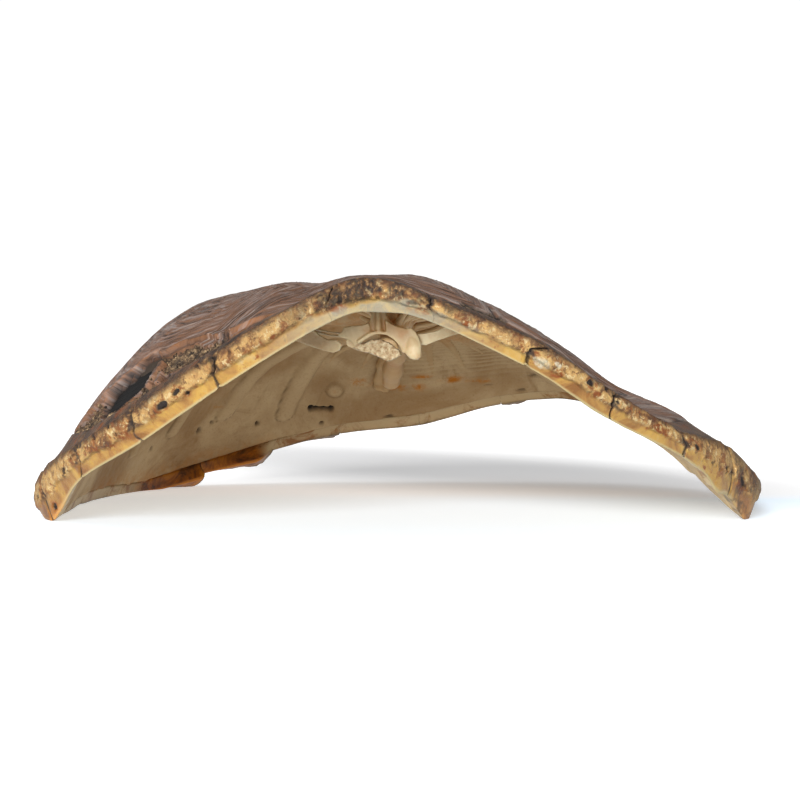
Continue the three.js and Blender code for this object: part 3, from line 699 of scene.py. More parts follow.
@dataclass(frozen=True)
class FloorFinish:
    """White ground with painted light: it glows by emission, and a painted shadow lies behind the shell.

    Attributes:
        shade: Middle of the painted shadow behind the shell, in metres.
        reach: Half width and half depth of the painted shadow, in metres.
        slant: How much closer the painted shadow comes to the shell for each metre to the right.
        glow: Strength of the painted glow, an emission of the ground, outside the painted shadow.
        front: Colour in front of the shell, cooler because the shell throws warm light there.
        rear: Colour behind it.
    """

    shade: tuple[float, float] = (0.0, 0.3)
    reach: tuple[float, float] = (0.34, 0.26)
    slant: float = 1.0
    glow: float = 0.5
    front: Colour = (0.71, 0.83, 0.95)
    rear: Colour = (0.86, 0.86, 0.865)

    def make(self) -> bpy.types.Material:
        """Builds the material."""
        g = Graph("white_ground_painted_shadow")
        # Painted light: the ground glows by emission, and a painted shadow is left behind the shell where the
        # glow fades.
        north = self._painted_glow(g)
        white = g.blend(self.front, self.rear, g.range(north, 0.05, 0.1, 0.0, 1.0))
        return g.finish(white, 0.9, None, 0.1, Emission_Color=(1, 1, 1, 1))

    def _painted_glow(self, g: Graph) -> Socket:
        """Painted light: a faint emission glow of the ground, which fades out in the painted shadow behind
        the shell.

        Returns:
            The place along the shell, metres.
        """
        east, back, _ = g.node("ShaderNodeSeparateXYZ").outputs
        g.feed(east.node.inputs[0], g.place)
        east = g.math("SUBTRACT", east, self.shade[0])
        across = g.math("DIVIDE", east, self.reach[0])
        middle = g.math("SUBTRACT", self.shade[1], g.times(east, self.slant))
        along = g.math("DIVIDE", g.math("SUBTRACT", back, middle), self.reach[1])
        far = g.math("SQRT", g.plus(g.times(across, across), g.times(along, along)))
        # Painted shadow: emission is 0.02 inside the ellipse behind the shell and rises to the painted glow
        # outside it.
        g.feed(g.shader.inputs["Emission Strength"], g.range(far, 0.2, 1.0, 0.02, self.glow))
        return back


# ---------------------------------------------------------------- bone


@dataclass
class BoneDome:
    """The grown bone dome: thin outer layer under the horn, inner face with rib ends, pits and a slot."""

    form: ShellForm
    rows: int = 116
    rib_height: float = 1.5
    # Place round the rim, half width in millimetres, and the s where the rib ends.
    ribs: Sequence[tuple[float, float, float]] = (
        (14.98, 4.8, 0.93), (15.95, 5.0, 0.905), (16.82, 4.8, 0.92), (17.65, 4.4, 0.95), (18.5, 4.8, 0.93),
        (19.4, 4.8, 0.91), (20.4, 4.8, 0.9), (21.7, 5.0, 0.86), (11.05, 4.8, 0.9), (10.1, 5.0, 0.88),
        (9.2, 4.8, 0.9), (8.35, 4.6, 0.9), (7.45, 4.8, 0.9), (6.5, 4.8, 0.88), (5.4, 4.8, 0.86),
        (4.2, 5.0, 0.8))
    # The t, s and radius of each pit.
    pits: Sequence[tuple[float, float, float]] = (
        (17.12, 0.935, 1.1), (16.25, 0.92, 1.2), (16.1, 0.905, 0.9), (15.35, 0.93, 0.9), (11.35, 0.86, 1.2),
        (11.7, 0.95, 0.8), (11.5, 0.955, 0.8), (12.1, 0.9, 0.8), (13.4, 0.97, 0.9), (14.3, 0.965, 0.9))
    # The t and s of both ends, and half the width.
    slot: tuple[float, float, float, float, float] = (14.57, 0.905, 14.22, 0.918, 0.9)
    # The t, s and radius of each stain and of the boss.
    stains: Sequence[tuple[float, float, float]] = (
        (14.0, 0.78, 4.6), (13.2, 0.855, 3.4), (12.65, 0.835, 2.6), (12.3, 0.86, 2.2), (13.5, 0.84, 2.8),
        (16.3, 0.86, 1.4), (13.05, 0.8, 2.0))
    boss: tuple[float, float, float] = (14.28, 0.83, 4.2)
    # How much deeper the bone lies under the torn edge of the horn.
    worn_depth: float = 3.0

    def stations(self) -> Array:
        """Places round the rim, closer together where the inner face is seen."""
        runs = [(0, 14, 13), (14, 14.8, 56), (14.8, 18.6, 36), (18.6, 26, 16)]
        return np.concatenate([np.arange(a, b - 1e-6, 1 / n) for a, b, n in runs])

    def inner_rows(self, t: Array) -> Array:
        """The s of each row on the inner face, evenly spaced along it."""
        under = self.form.in_from_brow(t, self.form.underside_return - 0.5)
        ring = np.linspace(0, 1, 161)
        s = under[:, None] * ring[None, :]
        line, _ = self.form.inner(s, t[:, None])
        length = distance_along(line, 1)
        want = np.linspace(0, 1, self.rows)
        return np.array([np.interp(want * row[-1], row, line_s) for row, line_s in zip(length, s)])

    def _distance(self, t: Array, s: Array, at: float, where: float,
                  to: Sequence[float] | None = None) -> Array:
        """Distance in millimetres on the inner face from a spot, or from a line between two spots."""
        probe_t, probe_s = np.array([at]), np.array([where])
        centre, _ = self.form.inner(probe_s, probe_t)
        here, _ = self.form.inner(s, t)
        if to is None:
            return np.linalg.norm(here - centre, axis=-1)
        other, _ = self.form.inner(np.array([to[1]]), np.array([to[0]]))
        line = (other - centre)[0]
        f = np.clip(((here - centre) @ line) / (line @ line), 0, 1)
        return np.linalg.norm(here - centre - f[..., None] * line, axis=-1)

    def relief(self, s: Array, t: Array, points: Array) -> tuple[Array, dict[str, Array]]:
        """Height into the hollow and the marks of the inner face."""
        height = 0.5 * noise(points, 26.0, 3, 3) + 0.16 * noise(points, 5.0, 4, 2)
        outline, crest = np.zeros_like(s), np.zeros_like(s)
        dt = np.linalg.norm(self.form.outer(s, t + 0.05) - self.form.outer(s, t - 0.05), axis=-1) / 0.1
        ds = np.linalg.norm(self.form.outer(s + 0.01, t) - self.form.outer(s - 0.01, t), axis=-1) / 0.02
        wave = noise(points, 14.0, 8, 2)
        for at, half, end in self.ribs:
            bend = 0.55 * (end - s) * np.sin(3.0 * at)
            gap = np.abs((t - at - bend + HALF) % SEAMS - HALF) * dt
            past = np.maximum(0, s - end + 0.02) * ds
            distance = np.hypot(gap, past) + 0.5 * wave
            inside = step(half + 1.0, half - 1.6, distance)
            swell = np.clip(1 - (distance / (half * 1.2)) ** 2, 0, 1)
            height = height + self.rib_height * (0.55 * inside + 0.75 * swell) * step(0.02, 0.3, s)
            height = height + 1.6 * swell * step(0.06, 0.2, s) * step(0.8, 0.35, s)
            # Painted highlight: the rib crests are marked to be painted pale.
            crest = np.maximum(crest, swell * step(0.1, 0.35, s))
            line = bell(distance - half, 0.5, 0.4) * step(0.66, 0.84, s)
            outline = np.maximum(outline, line * step(-0.4, 0.5, wave + 0.35))
        for k in range(SEAMS):
            seam = np.abs((t - k - 0.5 + HALF) % SEAMS - HALF) * dt + 0.9 * wave
            fine = bell(seam, 0.0, 0.35) * step(0.3, 0.5, s)
            height = height - 0.15 * fine
            outline = np.maximum(outline, 0.22 * fine)
        # Fine ridges side by side, which sweep round under the roof and towards the right flank; their tops
        # are painted pale as painted highlight.
        sweep = s * ds.mean() + 2.0 * noise(points, 30.0, 9, 2)
        ridged = np.sin(sweep * 1.35) * step(0.95, 0.8, s) * step(0.1, 0.3, s)
        height = height + 0.3 * ridged * step(9.2, 10.6, t) * step(14.4, 13.4, t)
        swept = step(9.6, 10.8, t) * step(14.2, 13.2, t) * step(0.9, 0.7, s)
        crest = np.maximum(crest, 0.5 * (ridged + 1) * swept)
        # Pits and the slot: sunk 2.4 mm and painted near black as painted shadow.
        pit = np.zeros_like(s)
        for at, where, radius in self.pits:
            pit = np.maximum(pit, step(radius + 0.4, radius - 0.4, self._distance(t, s, at, where)))
        a, b, c, d, radius = self.slot
        slot = self._distance(t, s, a, b, (c, d))
        ends = np.minimum(self._distance(t, s, a, b), self._distance(t, s, c, d))
        pit = np.maximum(pit, np.maximum(step(radius + 0.4, radius - 0.4, slot), step(1.9, 1.1, ends)))
        height = height - 2.4 * pit
        at, where, radius = self.boss
        far = self._distance(t, s, at, where)
        height = height + 1.7 * np.clip(1 - (far / radius) ** 2, 0, 1) ** 0.5
        # Painted highlight: the boss is marked to be painted pale.
        crest = np.maximum(crest, step(radius, radius * 0.5, far))
        outline = np.maximum(outline, 0.6 * bell(far - radius, 0.3, 0.6) * step(0.82, 0.84, s))
        rust = np.zeros_like(s)
        for at, where, radius in self.stains:
            spot = self._distance(t, s, at, where, (at - 0.22, where + 0.004))
            spot = spot + 0.8 * noise(points, 4.0, 10, 3)
            rust = np.maximum(rust, step(radius * 0.8, radius * 0.2, spot))
        rust = np.maximum(rust, 0.55 * step(0.955, 1.0, s) * step(14.6, 15.4, t) * step(19.5, 18.0, t))
        rust = np.maximum(np.maximum(rust, 0.3 * step(radius, 0.0, far)), 0.4 * step(0.6, 0.2, s))
        return height, {"outline": outline, "rust": rust, "pit": pit, "crest": crest}

    def build(self) -> bpy.types.Object:
        """Builds the dome."""
        form = self.form
        t = self.stations()
        sink, deep = form.horn + form.bone_gap, form.horn + form.lip_gap
        edge = form.marginal_edge(t)
        top_s = np.concatenate([edge[:, None] * np.linspace(0, 1, 26), ((1 + edge) / 2)[:, None]], 1)
        column = t[:, None]
        surface = form.outer(top_s, column)
        away = np.linalg.norm(surface - form.outer(edge, t)[:, None], axis=-1)
        worn = self.worn_depth * step(34, 26, away) * (step(20.5, 21.3, t) * step(24.9, 24.4, t))[:, None]
        worn = worn * step(0.0, 1.5, np.abs(top_s - 1) * 100)
        top = surface - form.normal(top_s, column) * (sink + worn)[..., None]
        face = form.rim_curve(t, np.array([0, 0.25, 0.5, 0.75, 1.0]), (sink, sink, deep), np.zeros_like(t))
        ledge = form.underside(t, form.underside_return - 0.5, deep)[:, None]
        s = self.inner_rows(t)
        points, into = form.inner(s, column)
        height, marks = self.relief(s, np.broadcast_to(column, s.shape), points)
        fade = step(0.0, 0.03, s)
        below = (points + into * (height * fade)[..., None])[:, ::-1]
        grid = np.concatenate([top, face, ledge, below], 1)
        hidden = top.shape[1] + face.shape[1] + 1
        marks = {key: np.concatenate([np.zeros((len(t), hidden)), value[:, ::-1]], 1)
                 for key, value in marks.items()}
        marks["crumb"] = np.zeros((len(t), hidden + s.shape[1]))
        marks["crumb"][:, :hidden - 1] = 1
        faces = grid_faces(grid.shape[0], grid.shape[1], True, False)
        piece = make_mesh("bone_dome", grid.reshape(-1, 3), faces, marks)
        tidy_mesh(piece, 4e-6)
        return piece


# ---------------------------------------------------------------- horn plates of the dome


@dataclass
class Outline:
    """Plan of one dome plate and where its growth started."""

    name: str
    corners: Sequence[Sequence[float]]
    start: tuple[float, float]
    points: int = 190
    rows: int = 40
    torn: bool = False


@dataclass
class DomeHorn:
    """The five vertebral and eight costal plates."""

    form: ShellForm
    vertebral_seam_y: Sequence[float] = (-90, -34, 22, 76)
    # Corners of the ridge plates on either side, from the front to the rear.
    left: Sequence = (
        (-66, -146), (-32, -90), (-46, -62), (-30, -34), (-44, -6), (-28, 22), (-40, 49), (-24, 76))
    right: Sequence = ((43, -152), (31, -90), (44, -62), (29, -34), (42, -6), (27, 22), (38, 49), (23, 76))
    # Where the costal seams and the first plates' front corners (left, right) meet the rim.
    costal_seam_t: Sequence[float] = (5.4, 7.4, 9.5, 11.5)
    front_corner_t: Sequence[float] = (2.0, 1.6)
    seam_bow: float = 3.0
    beyond: float = 1.35
    # Width of the torn band at places round the rim.
    torn_t: Sequence[float] = (20.6, 21.2, 21.6, 21.9, 22.2, 22.6, 22.85, 23.2, 23.5, 23.85, 24.1, 24.4, 24.8)
    torn_width: Sequence[float] = (0.0, 4.0, 10.0, 19.0, 27.0, 31.0, 29.0, 24.0, 19.0, 14.0, 9.0, 4.0, 1.5)
    # The first plates' points round the edge, rows from the start to the edge, and the torn mark.
    torn_grids: dict[str, tuple[int, int, bool]] = field(default_factory=lambda: {
        "left": (540, 140, True), "right": (340, 90, True), "ridge": (420, 110, True)})
    # Both ends [t, s] of the middle line of a spot, and its radius.
    # The hole and the hollow are sunk and painted near black as painted shadow.
    hole_painted_shadow: tuple = ((22.12, 0.9), (22.5, 0.865), 11.0)
    hollow: tuple = ((23.25, 0.945), (23.62, 0.955), 3.2)
    bruise: tuple = ((1.42, 0.9), (1.68, 0.925), 3.4)
    flaps: Sequence[tuple] = (((22.86, 0.86), (22.96, 0.93), 2.0), ((23.1, 0.91), (23.2, 0.95), 1.5))

    def _beyond(self, start: float, end: float) -> list[Array]:
        """Plan outline of a run of rim, well outside the plates."""
        t = np.linspace(start, end, 7)
        return list(self.form.plan(np.full(7, self.beyond), t))

    def _middle(self, k: int) -> tuple[float, float]:
        """Middle of the seam behind vertebral plate k."""
        return 0.0, self.vertebral_seam_y[k] - self.seam_bow

    def outlines(self) -> list[Outline]:
        """Plan outlines of all plates."""
        left, right = self.left, self.right
        front = [self.form.plan(np.array(self.beyond), np.array(t))
                 for t in (SEAMS - self.front_corner_t[0], self.front_corner_t[1])]
        first = [left[1], left[0], front[0], (0, -230), front[1], right[0], right[1], self._middle(0)]
        made = [Outline("vertebral_scute_1", first, (-1, -100), *self.torn_grids["ridge"])]
        for k in range(3):
            i = 1 + 2 * k
            corners = [*left[i:i + 3], self._middle(k + 1), *right[i:i + 3][::-1], self._middle(k)]
            made.append(Outline(f"vertebral_scute_{k + 2}", corners, (-1, self.vertebral_seam_y[k + 1] - 14)))
        rear = self.costal_seam_t[3]
        made.append(Outline("vertebral_scute_5", [right[7], self._middle(3), left[7],
                                                  *self._beyond(SEAMS - rear, rear)], (0, 92)))
        for side, corners in (("left", left), ("right", right)):
            ends = [self.front_corner_t[side == "right"], *self.costal_seam_t]
            starts = {"left": ((-62, -78), (-66, -12), (-62, 44), (-58, 88)),
                      "right": ((60, -78), (64, -12), (60, 44), (56, 88))}[side]
            for k in range(4):
                inside = list(corners[0:3]) if k == 0 else [corners[2 * k], corners[2 * k + 1]]
                if 0 < k < 3:
                    inside.append(corners[2 * k + 2])
                on = [SEAMS - x if side == "left" else x for x in (ends[k], ends[k + 1])]
                fine = self.torn_grids[side] if k == 0 else ()
                made.append(Outline(f"costal_scute_{side}_{k + 1}", [*inside[::-1], *self._beyond(*on)],
                                    starts[k], *fine))
        return made

    def _rim_curve(self) -> Array:
        """Plan of the line where the marginal plates begin."""
        t = np.linspace(0, SEAMS, 521)
        return self.form.plan(self.form.marginal_edge(t, self.form.plate_gap), t)

    def _boundary(self, outline: Outline) -> Array:
        """Plan points round the plate, evenly spaced over the surface."""
        corners = np.array([list(map(float, c)) for c in outline.corners])
        area = np.sum(corners[:, 0] * np.roll(corners[:, 1], -1) - corners[:, 1] * np.roll(corners[:, 0], -1))
        if area < 0:
            corners = corners[::-1]
        before = unit(corners - np.roll(corners, 1, 0))
        after = unit(np.roll(corners, -1, 0) - corners)
        bisector = unit(before + after)
        inwards = np.stack([-bisector[:, 1], bisector[:, 0]], -1)
        across = np.stack([-before[:, 1], before[:, 0]], -1)
        stretch = self.form.plate_gap / 2 / np.maximum(0.3, np.sum(inwards * across, -1))
        corners = corners + inwards * stretch[:, None]
        start = np.array(outline.start, float)
        angles = np.linspace(0, 2 * np.pi, 1800, endpoint=False)
        own = np.arctan2(corners[:, 1] - start[1], corners[:, 0] - start[0]) % (2 * np.pi)
        angles = np.unique(np.concatenate([angles, own]))
        reach = np.full(len(angles), 1e9)
        ray = np.stack([np.cos(angles), np.sin(angles)], -1)
        closed = np.concatenate([corners, corners[:1]])
        for line in (closed, self._rim_curve()):
            for a, b in zip(line[:-1], line[1:]):
                edge = b - a
                det = ray[:, 0] * -edge[1] + ray[:, 1] * edge[0]
                gap = a - start
                with np.errstate(divide="ignore", invalid="ignore"):
                    far = (gap[0] * -edge[1] + gap[1] * edge[0]) / det
                    along = (ray[:, 0] * gap[1] - ray[:, 1] * gap[0]) / det
                hit = (np.abs(det) > 1e-9) & (far > 0) & (along >= -1e-6) & (along <= 1 + 1e-6)
                reach = np.where(hit & (far < reach), far, reach)
        ring = start + ray * reach[:, None]
        s, t = self.form.locate(ring)
        lifted = self.form.outer(s, t)
        closed_ring = np.concatenate([ring, ring[:1]])
        length = np.linalg.norm(np.diff(np.concatenate([lifted, lifted[:1]]), axis=0), axis=-1)
        walked = np.concatenate([[0], np.cumsum(length)])
        want = np.linspace(0, walked[-1], outline.points, endpoint=False)
        if outline.torn:
            at_rim = np.abs(s - self.form.marginal_edge(t)) < 0.03
            close = np.where(at_rim & ((t > 20.4) & (t < 25.2)), 3.0, 1.0)
            pace = np.concatenate([[0], np.cumsum(length * close)])
            want = np.interp(np.linspace(0, pace[-1], outline.points, endpoint=False), pace, walked)
        return np.stack([np.interp(want, walked, closed_ring[:, k]) for k in range(2)], -1)

    def _from_line(self, points: Array, start: Sequence[float], end: Sequence[float]) -> Array:
        """Distance in millimetres from a line between two spots [t, s] of the outer face."""
        a, b = (self.form.outer(np.array(s), np.array(t)) for t, s in (start, end))
        f = np.clip(((points - a) @ (b - a)) / ((b - a) @ (b - a)), 0, 1)
        return np.linalg.norm(points - a - f[..., None] * (b - a), axis=-1)

    def _torn(self, t: Array, points: Array, from_edge: Array) -> tuple[Array, dict[str, Array]]:
        """Relief and marks of the torn front edge of the left flank and of the worn spot on the right.

        Args:
            t: Place of each point round the rim.
            points: Points on the plate's outer face.
            from_edge: Their distance from the rim plates, in millimetres.

        Returns:
            The change of height in millimetres, and the numbers `crumb`, `torn_edge` and the hole's mark,
            which is painted near black as painted shadow.
        """
        width = np.interp(t, self.torn_t, self.torn_width, left=0.0, right=0.0)
        wide = step(0.5, 3.0, width)
        first = width * (0.92 + 0.14 * noise(points, 17.0, 21, 1)) + 0.3 * noise(points, 8.0, 26, 1) * wide
        second = first + np.clip(2.2 + 2.4 * noise(points, 15.0, 22, 1), 0.2, 6.0) * wide
        crumb = step(0.3, -0.3, from_edge - first) * step(0.4, 2.0, width)
        layer = step(0.25, -0.25, from_edge - second) * step(0.4, 2.0, width)
        rough = noise(points, 2.6, 23, 3)
        lumps = noise(points * np.array([0.6, 0.6, 1.3]), 7.0, 24, 3)
        far_in = step(0.0, 5.0, from_edge) * step(2.0, 9.0, width)
        drop = -0.8 * layer - crumb * (0.5 + 1.5 * far_in)
        drop = drop + crumb * (0.55 * rough + 0.9 * lumps) * (0.45 + 0.55 * far_in)
        drop = drop + 1.3 * step(6.0, 0.0, from_edge - second) * (1 - layer) * step(3.0, 9.0, width)
        edge_line = 0.75 * bell(from_edge - second, 0.1, 0.28) * wide
        edge_line += 0.55 * bell(from_edge - first, 0.1, 0.22) * wide
        # The hole and the hollow: sunk deep, and painted near black as painted shadow.
        hole_painted_shadow = np.zeros_like(t)
        for start, end, radius in (self.hole_painted_shadow, self.hollow):
            far = self._from_line(points, start, end) + 1.2 * noise(points, 8.0, 25, 2)
            deep = step(radius + 0.5, radius - 0.6, far)
            hole_painted_shadow = np.maximum(hole_painted_shadow, deep * (1.0 if radius > 4 else 0.9))
            edge_line = np.maximum(edge_line, 0.6 * bell(far - radius, 0.7, 0.35))
            drop = drop + 0.8 * bell(far - radius, 1.3, 0.9)
            crumb = crumb * step(radius + 0.2, radius + 1.0, far) + (crumb * step(1.0, 0.2, far / radius))
        for start, end, radius in self.flaps:
            far = self._from_line(points, start, end) + 0.5 * noise(points, 8.0, 28, 1)
            flap = step(radius, radius - 0.7, far)
            hole_painted_shadow, crumb = hole_painted_shadow * (1 - flap), crumb * (1 - flap)
            drop = mix(drop, 1.0 - 0.35 * (far / radius) ** 2, flap)
            edge_line = np.maximum(edge_line, 0.7 * bell(far - radius, -0.5, 0.4))
        start, end, radius = self.bruise
        far = self._from_line(points, start, end) + 1.2 * noise(points, 4.0, 27, 3)
        worn = step(radius, radius - 1.5, far)
        crumb = np.maximum(crumb, worn)
        drop = drop * (1 - hole_painted_shadow) - 4.1 * hole_painted_shadow - worn * (0.8 + 0.5 * rough)
        return drop, {"crumb": np.clip(crumb * (1 - hole_painted_shadow), 0, 1),
                      "torn_edge": np.clip(edge_line, 0, 1) * 0.65, "hole_painted_shadow": hole_painted_shadow}

    def _plate(self, outline: Outline) -> bpy.types.Object:
        """Closed mesh of one plate."""
        form = self.form
        ring = self._boundary(outline)
        start = np.array(outline.start, float)
        samples = np.linspace(0, 1, 60)
        plan = start + (ring - start)[:, None] * samples[None, :, None]
        s, t = form.locate(plan)
        lifted = form.outer(s, t)
        length = distance_along(lifted, 1)
        near = np.array([3.0, 2.3, 1.7, 1.2, 0.8, 0.45, 0.2, 0.0])
        rows = outline.rows - len(near)
        even = np.linspace(0, 1, rows, endpoint=False)[1:]
        if outline.torn:
            even = np.interp(even, (0, 0.25, 1), (0, 0.55, 1))
        total = length[:, -1:]
        body = np.maximum(total - 3.6, total * 0.4)
        want = np.concatenate([even[None] * body, total - near[None] * np.minimum(1.0, total / 8)], 1)
        share = np.array([np.interp(w, row, samples) for w, row in zip(want, length)])
        plan = start + (ring - start)[:, None] * share[..., None]
        s, t = form.locate(plan)
        points = form.outer(s, t)
        normal = form.normal(s, t)
        inside = total - want
        swirl = noise(points, 30.0, 31, 2)
        rings = want / total * np.mean(total) + 3.6 * swirl
        growth = 0.12 * np.sin(rings * 2.1) * step(4, 14, want) + 0.08 * np.sin(rings * 5.3 + 2 * swirl)
        angle = np.arctan2(plan[..., 1] - start[1], plan[..., 0] - start[0])
        spokes = noise(np.stack([7 * np.cos(angle), 7 * np.sin(angle), want * 0.03], -1), 1.0, 32, 2)
        height = growth + 0.2 * spokes * step(4, 20, want) + 0.6 * noise(points, 38.0, 33, 3)
        height = height + 0.16 * noise(points, 4.0, 34, 2)
        along = np.stack([rings * 0.35, angle * 3.0, 0 * rings], -1)
        folds = np.abs(noise(along, 3.2, 35, 3)) + 0.15 * (1 + noise(points, 20.0, 36, 2))
        crease = step(0.16, 0.03, folds) * step(3, 10, want)
        height = height - 0.55 * crease
        height = height - 1.3 * bell(inside, 0.6 * noise(points, 7.0, 37, 2), 1.3)
        marks = {"ring": rings, "ray": angle * np.mean(total) * 0.6, "crease": crease,
                 "seam": np.maximum(inside + 0.5 * noise(points, 5.0, 38, 2), 0)}
        zero = np.zeros_like(want)
        marks.update({"crumb": zero, "torn_edge": zero, "hole_painted_shadow": zero})
        under = np.full_like(want, form.horn)
        if outline.torn:
            edge = form.marginal_edge(t.ravel()).reshape(t.shape)
            from_edge = np.linalg.norm(points - form.outer(edge, t), axis=-1)
            drop, torn = self._torn(t, points, from_edge)
            height = height * (1 - torn["crumb"]) + drop
            under = under + 2.9 * np.maximum(torn["hole_painted_shadow"], torn["crumb"])
            marks.update(torn)
        height = np.maximum(height, -under + 0.25)
        top = points + normal * height[..., None]
        keep = np.linspace(0, want.shape[1] - 1, 14).astype(int)[::-1]
        bottom = (points - normal * under[..., None])[:, keep]
        grid = np.concatenate([top, bottom], 1)
        count = grid.shape[1]
        s0, t0 = form.locate(start[None])
        middle, out = form.outer(s0, t0), form.normal(s0, t0)
        centre = np.concatenate([middle + out * np.mean(height[:, 0]), middle - out * form.horn])
        faces = [list(f) for f in grid_faces(len(grid), count, True, False)]
        base = grid.size // 3
        for j in range(len(grid)):
            k = (j + 1) % len(grid)
            faces.append([base, k * count, j * count])
            faces.append([base + 1, j * count + count - 1, k * count + count - 1])
        flat = np.concatenate([grid.reshape(-1, 3), centre])
        values = {}
        for key, value in marks.items():
            both = np.concatenate([value, value[:, keep]], 1).ravel()
            values[key] = np.concatenate([both, [value[:, 0].mean()] * 2])
        piece = make_mesh(f"{outline.name}_horn", flat, faces, values)
        tidy_mesh(piece, 1e-6)
        return piece

    def build(self) -> dict[str, bpy.types.Object]:
        """Builds every plate, by node name."""
        return {outline.name: self._plate(outline) for outline in self.outlines()}


# ---------------------------------------------------------------- rim plates


class Mark(Enum):
    """Kinds of worn spots on the rim."""

    PIT = "pit"
    RUST = "rust"
    FLAKE = "flake"


